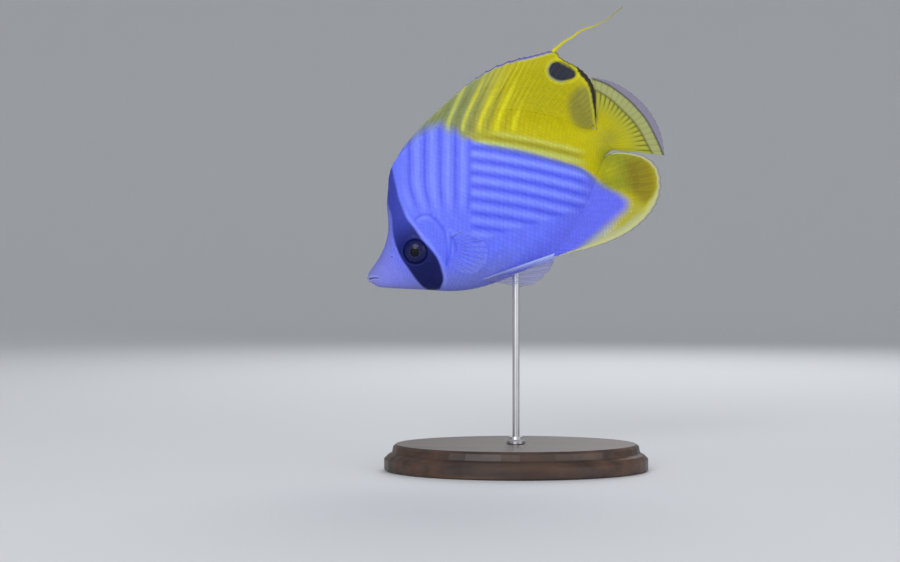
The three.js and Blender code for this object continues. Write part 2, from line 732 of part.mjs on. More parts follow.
// The rod runs from its hole in the base to its hole in the belly
const foot = rodFoot.clone().applyMatrix4(fish.matrixWorld);
const rodLow = BASE_HEIGHT - ROD_IN_BASE + GAP;
const rodHigh = foot.z + ROD_IN_BODY;
const rod = new THREE.CylinderGeometry(ROD_RADIUS, ROD_RADIUS, rodHigh - rodLow, 20);
rod.rotateX(Math.PI / 2).translate(foot.x, 0, (rodLow + rodHigh) / 2);

const stand = new THREE.Group();
addTo(stand, "stand_base", standBase(foot.x), finish.wood);
addTo(stand, "stand_collar", standCollar(foot.x), finish.steel);
addTo(stand, "stand_rod", solidOf(rod), finish.steel);

const model = new THREE.Group();
model.add(fish, stand);

export default model;
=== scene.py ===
import math

import bpy
import numpy as np
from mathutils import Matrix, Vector


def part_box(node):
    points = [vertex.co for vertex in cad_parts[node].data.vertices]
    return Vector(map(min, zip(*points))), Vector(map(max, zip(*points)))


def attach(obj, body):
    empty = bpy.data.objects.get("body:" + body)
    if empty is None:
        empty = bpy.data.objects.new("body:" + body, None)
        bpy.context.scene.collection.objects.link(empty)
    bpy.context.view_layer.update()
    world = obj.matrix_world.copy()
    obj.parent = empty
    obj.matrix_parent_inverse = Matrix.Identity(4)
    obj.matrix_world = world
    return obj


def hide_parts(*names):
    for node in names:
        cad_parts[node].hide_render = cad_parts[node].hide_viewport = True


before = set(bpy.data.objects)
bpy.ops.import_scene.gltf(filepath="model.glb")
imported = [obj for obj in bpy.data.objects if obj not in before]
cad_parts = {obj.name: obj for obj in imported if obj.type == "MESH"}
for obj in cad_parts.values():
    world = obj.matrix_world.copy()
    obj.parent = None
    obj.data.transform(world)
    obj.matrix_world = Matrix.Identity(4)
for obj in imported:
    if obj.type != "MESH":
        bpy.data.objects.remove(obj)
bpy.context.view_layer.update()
RNG = np.random.default_rng(7)

PITCH = math.radians(34)
BODY_LENGTH = 124.5
NOSE_ROUND = 2.2
ROD_AT_U = 57.0
EYE_AT = (24.8, -2.6)
EYE_RADIUS = 5.7
EYE_DEPTH = 3.4
EYE_PROUD = 1.5
PUPIL_RADIUS = 2.25
NOSTRILS = ((14.6, 1.4), (17.2, 3.6))
MOUTH_CORNER = (4.0, -2.9)
MOUTH_FRONT = -1.1
PICTURE_MM = 150 / 330
MIRROR = np.array([1, -1, 1])

# Lines of the body, without its fins
BACK = (
    (0, 0.6), (4.4, 2.5), (9.6, 4.5), (15.2, 7.9), (19.6, 12), (22.7, 16.5), (26.1, 22.4),
    (30.3, 27.8), (34.5, 33), (39.7, 36.7), (50, 39.2), (62, 39.4), (75, 37.5), (88, 32.5),
    (100, 24.5), (110, 14.5), (117, 5.5), (121, 0), (BODY_LENGTH, -2.6),
)
BELLY = (
    (0, -2.6), (0.8, -4.6), (2.9, -7.1), (10.1, -12.6), (21.1, -20.8), (28.3, -26.2), (36.4, -30.6),
    (43, -33), (52, -35.4), (62, -37.2), (72, -37.9), (80, -36.8), (90, -33.4), (100, -28.2),
    (110, -21.6), (117, -16.5), (121, -14.4), (BODY_LENGTH, -13.9),
)
WIDTH = (
    (0, 1.9), (3, 2.9), (8, 4.2), (14, 5.8), (20, 7.6), (27, 9.3), (35, 10.3), (45, 10.8),
    (58, 10.6), (72, 9.6), (86, 8), (98, 6.2), (108, 4.7), (116, 3.5), (BODY_LENGTH, 2.7),
)


def mix(a, b, t):
    return a + (b - a) * t


def ease(x, low, high):
    t = np.clip((np.asarray(x, float) - low) / (high - low), 0, 1)
    return t * t * (3 - 2 * t)


def bump(x, centre, wide):
    return np.exp(-(((x - centre) / wide) ** 2))


def unit(vectors):
    return vectors / np.linalg.norm(vectors, axis=-1, keepdims=True)


def smooth_line(points):
    xs = np.array([p[0] for p in points], float)
    ys = np.array([p[1] for p in points], float)
    before = np.maximum(np.arange(len(xs)) - 1, 0)
    after = np.minimum(np.arange(len(xs)) + 1, len(xs) - 1)
    slope = (ys[after] - ys[before]) / (xs[after] - xs[before])

    def at(x):
        x = np.asarray(x, float)
        i = np.clip(np.searchsorted(xs, x, side="left") - 1, 0, len(xs) - 2)
        w = xs[i + 1] - xs[i]
        t = np.clip((x - xs[i]) / w, 0, 1)
        t2, t3 = t * t, t * t * t
        ends = (2 * t3 - 3 * t2 + 1) * ys[i] + (3 * t2 - 2 * t3) * ys[i + 1]
        return ends + w * ((t3 - 2 * t2 + t) * slope[i] + (t3 - t2) * slope[i + 1])

    return at


back_line = smooth_line(BACK)
belly_line = smooth_line(BELLY)
half_width = smooth_line(WIDTH)


def back_strip(u):
    return mix(0.3, 1.5, ease(u, 34, 48)) - 0.4 * ease(u, 95, 122)


def belly_strip(u):
    return mix(0.3, 1.4, ease(u, 62, 78)) - 0.3 * ease(u, 95, 122)


def side_at(u, h):
    """Half width of the body at station u and height h, from -1 at the belly line to 1 at the back line."""
    u, h = np.broadcast_arrays(np.asarray(u, float), np.asarray(h, float))
    widest = mix(0, -0.12, ease(u, 20, 40))
    up = h > widest
    strip = np.where(up, back_strip(u), belly_strip(u))
    reach = np.where(up, (h - widest) / (1 - widest), (widest - h) / (1 + widest))
    stalk = ease(u, 112, 123)
    keen = np.where(up, ease(u, 28, 52), ease(u, 58, 82))
    fullness = mix(mix(0.5, 1.1, keen), 0.6, stalk)
    roundness = mix(2.1, 2.2, keen)
    rest = np.clip(1 - np.clip(reach, 0, 1) ** roundness, 0, 1)
    return strip + (half_width(u) - strip) * rest ** fullness


def middle_of(u):
    """Middle height of the body at station u, and half its depth."""
    return (back_line(u) + belly_line(u)) / 2, (back_line(u) - belly_line(u)) / 2


def side_of_point(u, v):
    middle, half = middle_of(u)
    return side_at(u, np.clip((v - middle) / half, -1, 1))


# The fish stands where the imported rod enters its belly
rod_low, rod_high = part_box("stand_rod")
cos_p, sin_p = math.cos(PITCH), math.sin(PITCH)
rod_foot_v = float(belly_line(ROD_AT_U))
SNOUT_X = (rod_low[0] + rod_high[0]) / 2 - (ROD_AT_U * cos_p - rod_foot_v * sin_p) / 1000
SNOUT_Z = 0.0873


def place(points):
    """Fish millimetres (u, y, v) to metres in the model's frame."""
    p = np.asarray(points, float)
    out = np.empty_like(p)
    out[..., 0] = SNOUT_X + (p[..., 0] * cos_p - p[..., 2] * sin_p) / 1000
    out[..., 1] = p[..., 1] / 1000
    out[..., 2] = SNOUT_Z + (p[..., 0] * sin_p + p[..., 2] * cos_p) / 1000
    return out


def level(u, v):
    """The same point in the level frame, in millimetres behind and above the snout."""
    return u * cos_p - v * sin_p, u * sin_p + v * cos_p


# Camera, level and square on to the left side, as in the photograph
camera = bpy.data.objects.new("camera", bpy.data.cameras.new("camera"))
bpy.context.scene.collection.objects.link(camera)
camera.data.lens = 61.6
camera.data.sensor_width = 36
camera.location = (-0.030, -0.700, 0.0859)
camera.rotation_euler = (math.pi / 2, 0, 0)
camera.data.clip_start = 0.01
camera.data.clip_end = 20
bpy.context.scene.camera = camera


def new_object(name, points, quads, triangles=()):
    mesh = bpy.data.meshes.new(name)
    quads = np.asarray(quads, np.int32).reshape(-1, 4)
    triangles = np.asarray(triangles, np.int32).reshape(-1, 3)
    corners = np.concatenate([quads.ravel(), triangles.ravel()])
    starts = np.concatenate([
        np.arange(len(quads)) * 4, len(quads) * 4 + np.arange(len(triangles)) * 3,
    ]).astype(np.int32)
    mesh.vertices.add(len(points))
    mesh.vertices.foreach_set("co", np.asarray(points, np.float32).ravel())
    mesh.loops.add(len(corners))
    mesh.loops.foreach_set("vertex_index", corners)
    mesh.polygons.add(len(starts))
    mesh.polygons.foreach_set("loop_start", starts)
    mesh.update(calc_edges=True)
    mesh.validate()
    mesh.shade_smooth()
    obj = bpy.data.objects.new(name, mesh)
    bpy.context.scene.collection.objects.link(obj)
    return obj


def set_tint(obj, colours, clear=None):
    """Colour of each vertex, with its opacity in the fourth channel."""
    values = np.ones((len(obj.data.vertices), 4), np.float32)
    values[:, :3] = np.clip(colours, 0, 1)
    if clear is not None:
        values[:, 3] = np.clip(clear, 0, 1)
    layer = obj.data.attributes.new("tint", "FLOAT_COLOR", "POINT")
    layer.data.foreach_set("color", values.ravel())


def grid_faces(columns, rows):
    j, i = np.meshgrid(np.arange(columns - 1), np.arange(rows - 1), indexing="ij")
    a = (j * rows + i).ravel()
    return np.stack([a, a + 1, a + rows + 1, a + rows], axis=1)


def ring_faces(rings, turns):
    """Quads between rings of points, and fans of triangles over the first ring and over the last."""
    a, b = np.meshgrid(np.arange(rings - 1) * turns, np.arange(turns), indexing="ij")
    after = (b + 1) % turns
    quads = np.stack([a + b, a + turns + b, a + turns + after, a + after], axis=2)
    i = np.arange(1, turns - 1)
    first = np.stack([0 * i, i, i + 1], axis=1)
    return quads.reshape(-1, 4), first, first[:, [0, 2, 1]] + (rings - 1) * turns


# Markings

def rgb(red, green, blue):
    """A screen colour as the light values that shaders use."""
    c = np.array([red, green, blue], float) / 255
    return np.where(c <= 0.04045, c / 12.92, ((c + 0.055) / 1.055) ** 2.4)


BLUE = rgb(102, 117, 246)
BLUE_DARK = rgb(72, 84, 226)
BLUE_PALE = rgb(138, 157, 255)
BELLY_GREY = rgb(112, 120, 196)
SNOUT_LILAC = rgb(124, 129, 226)
FOREHEAD = rgb(112, 116, 178)
BAND = rgb(20, 26, 84)
BAND_EYE = rgb(26, 35, 104)
BAND_HIGH = rgb(60, 70, 172)
YELLOW = rgb(184, 176, 0)
YELLOW_DEEP = rgb(166, 158, 0)
YELLOW_BRIGHT = rgb(214, 210, 30)
YELLOW_PALE = rgb(190, 196, 96)
OLIVE = rgb(122, 120, 50)
OLIVE_GREY = rgb(122, 134, 96)
BRONZE = rgb(124, 108, 22)
SPOT_BLACK = rgb(22, 27, 54)
SPOT_RIM = rgb(124, 140, 132)
BLUE_UPPER = rgb(112, 127, 250)
BLUE_LOWER = rgb(96, 102, 226)
LINE_GREEN = rgb(178, 194, 112)
STALK_OLIVE = rgb(140, 140, 50)
# painted shade, laid along the olive patch's lower edge where the soft dorsal fin meets the stalk
CORNER_SHADE = rgb(92, 90, 40)
LOBE = rgb(128, 136, 34)
LOBE_TIP = rgb(186, 192, 160)
EDGE_GREY = rgb(96, 112, 164)
CHIN = rgb(128, 130, 196)
LIPS = rgb(160, 166, 236)
# painted shade in the groove between the lips
MOUTH_SHADE = rgb(62, 58, 120)
BAND_RIM = rgb(142, 156, 255)
BLACK_EDGE = rgb(22, 18, 30)
VIOLET = rgb(92, 84, 190)


def blend(under, over, amount):
    amount = np.asarray(amount, float)[..., None]
    return under * (1 - amount) + over * amount


def layered(under, *coats):
    """A colour with others over it, each laid over the last as strongly as its amount says."""
    for over, amount in coats:
        under = blend(under, over, amount)
    return under


def near_line(points, u, v):
    """Distance to an open line."""
    x, y = np.ravel(u), np.ravel(v)
    best = np.full(len(x), 1e9)
    for (ax, ay), (bx, by) in zip(points[:-1], points[1:]):
        dx, dy = bx - ax, by - ay
        t = np.clip(((x - ax) * dx + (y - ay) * dy) / (dx * dx + dy * dy), 0, 1)
        best = np.minimum(best, np.hypot(x - ax - t * dx, y - ay - t * dy))
    return best.reshape(np.shape(u))


def outline_distance(points, u, v):
    """Distance to a closed outline, positive inside."""
    p = np.vstack([points, points[:1]]).astype(float)
    x, y = np.ravel(u), np.ravel(v)
    inside = np.zeros(len(x), bool)
    for (ax, ay), (bx, by) in zip(p[:-1], p[1:]):
        crosses = (ay > y) != (by > y)
        inside ^= crosses & (x < ax + (y - ay) * (bx - ax) / ((by - ay) or 1e-9))
    best = near_line(p, u, v)
    return np.where(inside.reshape(best.shape), best, -best)


def spline(points, count):
    """Points spaced evenly along a smooth curve through the given ones."""
    p = np.asarray(points, float)
    p = np.vstack([2 * p[0] - p[1], p, 2 * p[-1] - p[-2]])
    dense = []
    for i in range(1, len(p) - 2):
        d0, d1, d2 = (max(np.linalg.norm(p[i + k] - p[i + k - 1]) ** 0.5, 1e-6) for k in range(3))
        m1 = ((p[i] - p[i - 1]) / d0 - (p[i + 1] - p[i - 1]) / (d0 + d1) + (p[i + 1] - p[i]) / d1) * d1
        m2 = ((p[i + 1] - p[i]) / d1 - (p[i + 2] - p[i]) / (d1 + d2) + (p[i + 2] - p[i + 1]) / d2) * d1
        t = np.linspace(0, 1, 40, endpoint=i == len(p) - 3)[:, None]
        dense.append((2 * t**3 - 3 * t**2 + 1) * p[i] + (3 * t**2 - 2 * t**3) * p[i + 1]
                     + (t**3 - 2 * t**2 + t) * m1 + (t**3 - t**2) * m2)
    dense = np.vstack(dense)
    along = np.concatenate([[0], np.cumsum(np.linalg.norm(np.diff(dense, axis=0), axis=1))])
    wanted = np.linspace(0, along[-1], count)
    return np.stack([np.interp(wanted, along, dense[:, k]) for k in range(dense.shape[1])], axis=1)


# The black band through the eye, and the edge between the blue flank and the yellow rear
EYE_BAND = np.vstack([
    spline([
        (36.5, 36.2), (29.3, 28.2), (26.6, 22.5), (25, 17), (22.3, 12.2), (20, 7.4), (18.6, 2.6), (18, -2.1),
        (18, -7.9), (18.1, -13.2), (18.8, -17.6), (20.6, -21.4),
    ], 40),
    spline([
        (24.6, -22.6), (28.2, -20.2), (30.2, -15.8), (31.4, -11), (31.3, -5.5), (30.5, 0.6), (30.4, 6.2),
        (30, 12), (31.1, 17), (32.2, 21.6), (33.9, 26), (35.8, 31), (37.6, 35.4),
    ], 40),
])
YELLOW_EDGE = spline([
    (40, 40.5), (49.7, 41.4), (54.4, 41.6), (58.2, 41.2), (62.4, 40.4), (65.6, 38.8), (67.4, 36.4),
    (69, 33.4), (71.2, 29.6), (73.8, 24.8), (76.9, 21.3), (83.5, 14.9), (90.1, 8.3), (96.3, 1.4),
    (102.5, -5.8), (108, -12.6), (110.5, -18.3), (111.6, -23.2), (113.4, -27.7), (116.2, -32.6),
    (117.4, -37.4), (115.2, -40), (110.1, -40.8), (102.8, -41.9), (94, -43.2), (86, -43.8), (78, -43),
], 140)
YELLOW_AREA = np.vstack([YELLOW_EDGE, [(70, -80), (200, -80), (200, 80), (36, 80)]])
SPOT = spline([
    (121.4, 32.6), (124.2, 33.9), (127.2, 32.9), (129.4, 30.4), (130.8, 26.8), (130.9, 24), (128.8, 22.9),
    (125.7, 23.7), (122.6, 25.4), (120.8, 28), (120.4, 30.4), (121.4, 32.6),
], 50)[:-1]
OLIVE_PATCH = spline([
    (127.6, 18.2), (132, 16), (133.2, 12), (130.6, 7), (127.8, 2.8), (124.4, 0), (120.6, 0), (117.8, 3),
    (117.4, 8.2), (119.6, 13.6), (123.2, 17), (127.6, 18.2),
], 40)[:-1]
BRONZE_PATCH = spline([
    (127.4, -21.4), (132.6, -23.4), (135.8, -28), (135.2, -34.4), (132, -40), (127, -43.4), (122.4, -42.4),
    (121.4, -37), (122.6, -31.2), (124.6, -25.6), (127.4, -21.4),
], 40)[:-1]

# Both sets of fine lines, laid out level as they look from the side: in steps of the picture's scale
# behind and above the snout. The flank is nearer than the plane of symmetry, and so looks larger.
VIEW_DISTANCE = 700
VIEW_AT = (84, -3)
FIRST_AT = 103.5
SECOND_AT = (154, 135)


def seen(u, v, side):
    a, b = level(u, v)
    nearer = 1 + side / VIEW_DISTANCE
    x = VIEW_AT[0] + (a / PICTURE_MM - VIEW_AT[0]) * nearer
    y = VIEW_AT[1] + (b / PICTURE_MM - VIEW_AT[1]) * nearer
    return x, y


def first_set(x, y):
    """Phase of the upright lines, whole on a dark line: bowed round the head and leaning back on the fin."""
    rise = np.clip(y - 150, 0, None)
    lean = 0.5 * rise**2 / (rise + 10)
    low = np.clip(98 - y, 0, None) / 30
    bow = 11 * low**1.5 * ((FIRST_AT - x) / 50 - 0.3)
    along = x - lean - bow - FIRST_AT
    return along / np.where(along < 0, 15.4, 17.2)


def second_set(x, y):
    """Number of the line that runs back to the tail, from 0 in the yellow to 8 on the belly."""
    across = x - SECOND_AT[0]
    drop = SECOND_AT[1] - (0.19 * across + 0.0006 * across**2) - y
    return (-12.2 + np.sqrt(np.clip(148.84 + 0.48 * drop, 1, None))) / 0.24


def stripe(phase, sharp):
    """1 in the middle of a dark line, -1 midway between two."""
    wave = np.cos(2 * math.pi * phase)
    return np.where(wave > 0, np.abs(wave) ** sharp, wave)


def paint(u, v, side=None):
    """The animal's colour at points of its side, which lie that far from the plane of symmetry, with painted
    light and shade along the gill cover's edge, the crease before the pectoral fin, the line between the
    lips and the corner where the soft dorsal fin meets the stalk.
    """
    u = np.asarray(u, float)
    v = np.asarray(v, float)
    x, y = seen(u, v, side_of_point(np.clip(u, 0, BODY_LENGTH), v) if side is None else side)
    first = stripe(first_set(x, y), 2.4)
    rank = second_set(x, y)
    second = stripe(rank, 1.8)
    above = v - belly_line(u)
    # the upright lines, then those that run back to the tail
    swap = ease(x, FIRST_AT - 2, FIRST_AT + 3)
    in_first = (1 - swap) * ease(x, 32, 44) * ease(y, 58, 84)
    end = mix(FIRST_AT + 8, 222, ease(y, 30, 76))
    in_second = swap * ease(x, end + 6, end - 14) * ease(y, 20, 42)
    wane = mix(0.75, 1, ease(y, 60, 110))
    dark = 0.9 * np.clip(first, 0, 1) * in_first + 1.1 * np.clip(second, 0, 1) * in_second
    pale = 0.7 * np.clip(-first, 0, 1) ** 1.5 * in_first + np.clip(-second, 0, 1) * in_second * wane
    # the flank pales upwards and ahead, and greys along the belly
    low = ease(above, 17, 3) * ease(x, 176, 120)
    colour = layered(
        BLUE,
        (BLUE_UPPER, 0.6 * ease(x, 110, 60) * ease(y, 40, 80)),
        (BELLY_GREY, 0.85 * low),
        (BLUE_LOWER, 0.7 * ease(above, 12, 2) * ease(x, 120, 176)),
        (BLUE_DARK, 0.8 * dark),
        (BLUE_PALE, 0.66 * pale),
    )
    # yellow rear, greyer ahead, with the upright lines running up into it
    up = ease(y, 143, 150)
    streak = np.clip(-first, 0, 1) ** 2 * ease(x, 68, 82) * ease(x, 158, 146) * up * ease(y, 214, 172)
    fine = np.clip(-np.cos(2 * math.pi * 3 * first_set(x, y)), 0, 1) ** 2
    between = ease(x, FIRST_AT, FIRST_AT + 14) * ease(x, 224, 204)
    olive = outline_distance(OLIVE_PATCH, u, v)
    corner = np.hypot(u - 125.4, v - 0.4)
    lobe = ease(x, 224, 240) * ease(x, 290, 266) * ease(y, 134, 124) * ease(y, 78, 94)
    rear = layered(
        YELLOW,
        (YELLOW_DEEP, 0.8 * ease(y, 140, 180) * ease(x, 110, 160)),
        (OLIVE_GREY, 0.9 * ease(x - 0.3 * (y - 150), 132, 88)),
        (OLIVE, 0.5 * up * np.clip(first, 0, 1) * ease(x, 70, 84) * ease(x, 150, 128) * ease(y, 200, 176)),
        (mix(YELLOW_PALE, YELLOW_BRIGHT, ease(x, 84, 112)[..., None]), 0.85 * streak),
        (YELLOW_BRIGHT, 0.35 * fine * ease(x, 104, 126) * ease(x, 178, 150) * ease(y, 160, 180)),
        # olive line between two pale ones along the lower edge of the yellow
        (OLIVE, 0.6 * bump(rank, 0, 0.22) * between * ease(x, 106, 130)),
        (YELLOW_PALE, 0.8 * bump(rank, -0.42, 0.17) * between * ease(x, 112, 140)),
        (LINE_GREEN, 0.85 * bump(rank, 0.46, 0.2) * between),
        # patches on the fins and the stalk, and a painted shade line in the corner where the soft dorsal fin
        # meets the stalk
        (OLIVE, 0.85 * ease(olive, -2.4, 2.4)),
        (STALK_OLIVE, 0.6 * bump(u, 126, 7) * bump(v, -9, 5)),
        # painted shade: a darker line along the olive patch's lower edge, in the corner where the soft
        # dorsal fin meets the stalk
        (CORNER_SHADE, 0.55 * bump(olive, 0.2, 0.7) * ease(corner, 6.5, 2)),
        (LOBE, (0.85 - 0.4 * bump(x, 242, 8) * bump(y, 107, 10)) * lobe),
        (BRONZE, 0.85 * ease(outline_distance(BRONZE_PATCH, u, v), -3.2, 3.2)),
        (LOBE_TIP, 0.8 * ease(y, 60, 44) * ease(x, 262, 244)),
    )
    into = outline_distance(YELLOW_AREA, u, v)
    into = into - first * ease(x, FIRST_AT + 6, FIRST_AT - 6) * ease(x, 64, 74)
    soft = mix(0.9, 4.2, ease(x, 108, 84)) + 0.9 * ease(v, -14, -24) + 1.6 * ease(v, -30, -40)
    spot = outline_distance(SPOT, u, v)
    brow = ease(v - 0.9 * u, -14, 0) * ease(u, 34, 28)
    chin = ease(above, 4.5, 0.5) * ease(u, 30, 16)
    mouth = mouth_height(u)
    gill = near_line(GILL_EDGE, u, v)
    behind = (u > 25) & (outline_distance(GILL_OUTLINE, u, v) < 0)
    crease = near_line(PECTORAL_CREASE, u, v)
    band = outline_distance(EYE_BAND, u, v)
    inky = layered(BAND, (BAND_EYE, ease(v, -12, -1)), (BAND_HIGH, ease(v, 1, 15)))
    return layered(
        colour,
        (EDGE_GREY, 0.75 * bump(into, -0.8, 1.1) * ease(x, 104, 126) * ease(x, 250, 226)),
        (rear, ease(into, -soft, soft)),
        # black spot with a pale rim
        (YELLOW_BRIGHT, 0.4 * bump(spot, -1.2, 0.7)),
        (SPOT_RIM, 0.7 * bump(spot, 0, 0.8) * ease(u, 127, 122)),
        (SPOT_BLACK, 0.97 * ease(spot, -0.45, 0.55)),
        # snout, brow, chin and lips, and painted shade in the groove between the lips
        (SNOUT_LILAC, 0.85 * ease(u - 0.25 * v, 24, 12)),
        (FOREHEAD, 0.75 * brow),
        (CHIN, 0.5 * chin),
        (LIPS, 0.5 * ease(u, 6, 2) * ease(np.abs(v - mouth), 2.4, 0.6)),
        # painted shade in the groove between the lips
        (MOUTH_SHADE, 0.8 * bump(v, mouth, 0.25) * ease(u, 5, 3.6)),
        # painted highlight on the gill cover's raised edge and painted shade in the groove behind it,
        # painted shade in the crease before the pectoral fin with a painted highlight beside it, and the
        # band through the eye
        (BLUE_PALE, 0.4 * bump(gill, 0.5, 0.8) * ~behind * bump(u, 36.5, 3.5) * ease(v, 3, 7)),
        (BLUE_DARK, 0.6 * bump(gill, 0.7, 0.6) * behind * ease(v, -20, -12)),
        # painted shade in the crease before the pectoral fin, and a painted highlight on the raised fin root
        # beside it
        (BLUE_DARK, 0.6 * bump(crease, 0, 0.6)),
        (BLUE_PALE, 0.35 * bump(crease, 1.3, 0.7) * ease(u, 36, 40)),
        (BAND_RIM, 0.5 * bump(band, -0.9, 0.7) * ease(u, 25, 29) * ease(v, 24, 10)),
        (inky, ease(band, -0.5, 0.6)),
    )


def mouth_height(u):
    """Height of the line between the lips, which droops towards its corner."""
    return mix(MOUTH_FRONT, MOUTH_CORNER[1], np.clip(np.asarray(u) / MOUTH_CORNER[0], 0, 1.4) ** 2)


# Forms of the head

GILL_EDGE = spline([(33.2, 8.8), (35.6, 8.9), (38.6, 7.1), (39.9, 2.8), (40, -2), (38, -7.7), (34, -13.1),
                    (31.2, -18.6), (29.6, -24)], 40)
GILL_OUTLINE = np.vstack([GILL_EDGE, [(10, -24), (10, 8.8)]])
PECTORAL_ROOT = ((42, -6.6), (39.6, -10), (36.6, -13.2))
PECTORAL_CREASE = np.array([(42.4, -4.4), (40.6, -8), (37.4, -12), (33, -15.4)])
PREOPERCLE = spline([(31.6, 4), (33.2, -1), (33, -6), (30.6, -11.4), (26.6, -15.8), (20, -17.6)], 40)


def relief(u, v):
    """How far the skin stands off the plain body, in millimetres."""
    out = np.zeros(np.shape(u))
    r = np.hypot((u - EYE_AT[0]) * 1.03, v - EYE_AT[1])
    out = out + 0.45 * bump(r, EYE_RADIUS + 0.3, 0.8) + 0.22 * bump(r, EYE_RADIUS + 2, 1.8)
    out = np.where(r < EYE_RADIUS + 0.2, mix(-3.2, out, ease(r, EYE_RADIUS - 0.75, EYE_RADIUS + 0.1)), out)
    # gill cover: its rear edge stands a little over the shoulder behind it
    edge = near_line(GILL_EDGE, u, v)
    d = np.where(outline_distance(GILL_OUTLINE, u, v) > 0, edge, -edge)
    along = ease(u, 30.5, 35) * ease(v, 9.4, 7)
    out = out + (0.42 * ease(d, -0.3, 0.4) * ease(d, 6, 0.5) - 0.3 * bump(d, -0.8, 0.55)) * along
    out = out - 0.2 * bump(near_line(PREOPERCLE, u, v), 0, 0.5) * ease(r, 6.8, 8.6)
    for at in NOSTRILS:
        n = np.hypot(u - at[0], v - at[1])
        out = out + 0.3 * bump(n, 0.75, 0.28) - 0.9 * bump(n, 0, 0.42)
    line = mouth_height(u)
    near = ease(u, MOUTH_CORNER[0] + 1.0, MOUTH_CORNER[0] - 0.8)
    out = out + near * (0.5 * bump(v, line + 0.75, 0.5) + 0.5 * bump(v, line - 0.75, 0.5)
                        - 0.75 * bump(v, line, 0.2))
    base = near_line(PECTORAL_ROOT, u, v)
    return out + 0.45 * bump(base, 0, 1.6) - 0.25 * bump(near_line(PECTORAL_CREASE, u, v), 0, 0.5)


def grid_normals(p):
    du = np.gradient(p, axis=0)
    dv = np.gradient(p, axis=1)
    n = np.cross(du, dv)
    return n / np.maximum(np.linalg.norm(n, axis=2, keepdims=True), 1e-9)


def skin_grid():
    """The left side's plain surface as rows of stations, its u and v, and its outward normals."""
    nose = NOSE_ROUND * (np.arange(1, 15) / 14) ** 2
    head = np.arange(NOSE_ROUND + 0.28, 43, 0.3)
    rest = np.linspace(head[-1] + 0.45, BODY_LENGTH, 150)
    u = np.concatenate([[1e-4], nose, head, rest])
    h = -np.cos(np.linspace(0, math.pi, 150))
    uu, hh = np.meshgrid(u, h, indexing="ij")
    round_off = np.where(uu < NOSE_ROUND, np.sqrt(np.clip(1 - (1 - uu / NOSE_ROUND) ** 2, 0, 1)), 1)
    middle, half = middle_of(uu)
    vv = middle + half * hh * round_off
    p = np.stack([uu, -side_at(uu, hh) * round_off, vv], axis=2)
    n = grid_normals(p)
    return p, np.where(n[..., 1:2] > 0, -n, n)


plain, outward = skin_grid()
raised = plain + outward * relief(plain[..., 0], plain[..., 2])[..., None]
raised[:, 0, 1] = np.minimum(raised[:, 0, 1], 0)


def make_skin():
    stations, heights = plain.shape[:2]
    ring = np.concatenate([raised, (raised * MIRROR)[:, ::-1]], axis=1)
    across = ring.shape[1]
    points = place(ring.reshape(-1, 3))
    j = np.arange(across)
    k = np.arange(stations - 1)[:, None]
    a = k * across + j
    b = k * across + (j + 1) % across
    quads = np.stack([a, b, b + across, a + across], axis=2).reshape(-1, 4)
    end = (stations - 1) * across
    i = np.arange(heights - 1)
    cap = np.stack([end + i, end + i + 1, end + across - 2 - i, end + across - 1 - i], axis=1)
    skin = new_object("skin", points, np.vstack([quads, cap]))
    # colours go by the place on the side, so both sides match
    both = np.concatenate([plain, plain[:, ::-1]], axis=1).reshape(-1, 3)
    set_tint(skin, paint(both[:, 0], both[:, 2]))
    return skin


# Materials

class Nodes:
    """A material's nodes, added one at a time and linked by name. Its look is the shader's own values."""

    def __init__(self, name, **look):
        self.material = bpy.data.materials.new(name)
        self.material.use_nodes = True
        self.tree = self.material.node_tree
        self.tree.nodes.clear()
        self.shader = self.add("ShaderNodeBsdfPrincipled", **look)
        out = self.add("ShaderNodeOutputMaterial")
        self.link(self.shader, "BSDF", out, "Surface")

    def add(self, kind, **values):
        node = self.tree.nodes.new(kind)
        for key, value in values.items():
            if hasattr(node, key):
                setattr(node, key, value)
            else:
                node.inputs[key.replace("_", " ").title().replace("Ior", "IOR")].default_value = value
        return node

    def link(self, a, out, b, into):
        self.tree.links.new(a.outputs[out], b.inputs[into])


def noise_node(nodes, scale, detail, stretch=None):
    """Noise over the object's own coordinates, which may be stretched first."""
    where, out = nodes.add("ShaderNodeTexCoord"), "Object"
    if stretch:
        stretched = nodes.add("ShaderNodeMapping")
        stretched.inputs["Scale"].default_value = stretch
        nodes.link(where, out, stretched, "Vector")
        where, out = stretched, "Vector"
    noise = nodes.add("ShaderNodeTexNoise", scale=scale, detail=detail)
    nodes.link(where, out, noise, "Vector")
    return noise


def spread(nodes, noise, low, high):
    """The noise's value as one from low to high."""
    ramp = nodes.add("ShaderNodeMapRange", to_min=low, to_max=high)
    nodes.link(noise, "Fac", ramp, "Value")
    return ramp


def add_bump(nodes, height, distance, strength):
    node = nodes.add("ShaderNodeBump", distance=distance, strength=strength)
    nodes.link(height, "Fac", node, "Height")
    nodes.link(node, "Normal", nodes.shader, "Normal")


def tinted(name, mottle, grain=None, clear=False, **look):
    """Paint in the mesh's own tint. mottle is the scale and amount of the noise that varies it, and grain a
    bump's scale, height and strength."""
    nodes = Nodes(name, **look)
    tint = nodes.add("ShaderNodeAttribute", attribute_name="tint")
    by = nodes.add("ShaderNodeVectorMath", operation="SCALE")
    nodes.link(tint, "Color", by, 0)
    scale, amount = mottle
    varied = spread(nodes, noise_node(nodes, scale, 3.0), 1 - amount, 1 + amount)
    nodes.link(varied, "Result", by, "Scale")
    nodes.link(by, "Vector", nodes.shader, "Base Color")
    if clear:
        nodes.link(tint, "Alpha", nodes.shader, "Alpha")
    if grain:
        add_bump(nodes, noise_node(nodes, grain[0], 2.0), *grain[1:])
    return nodes.material


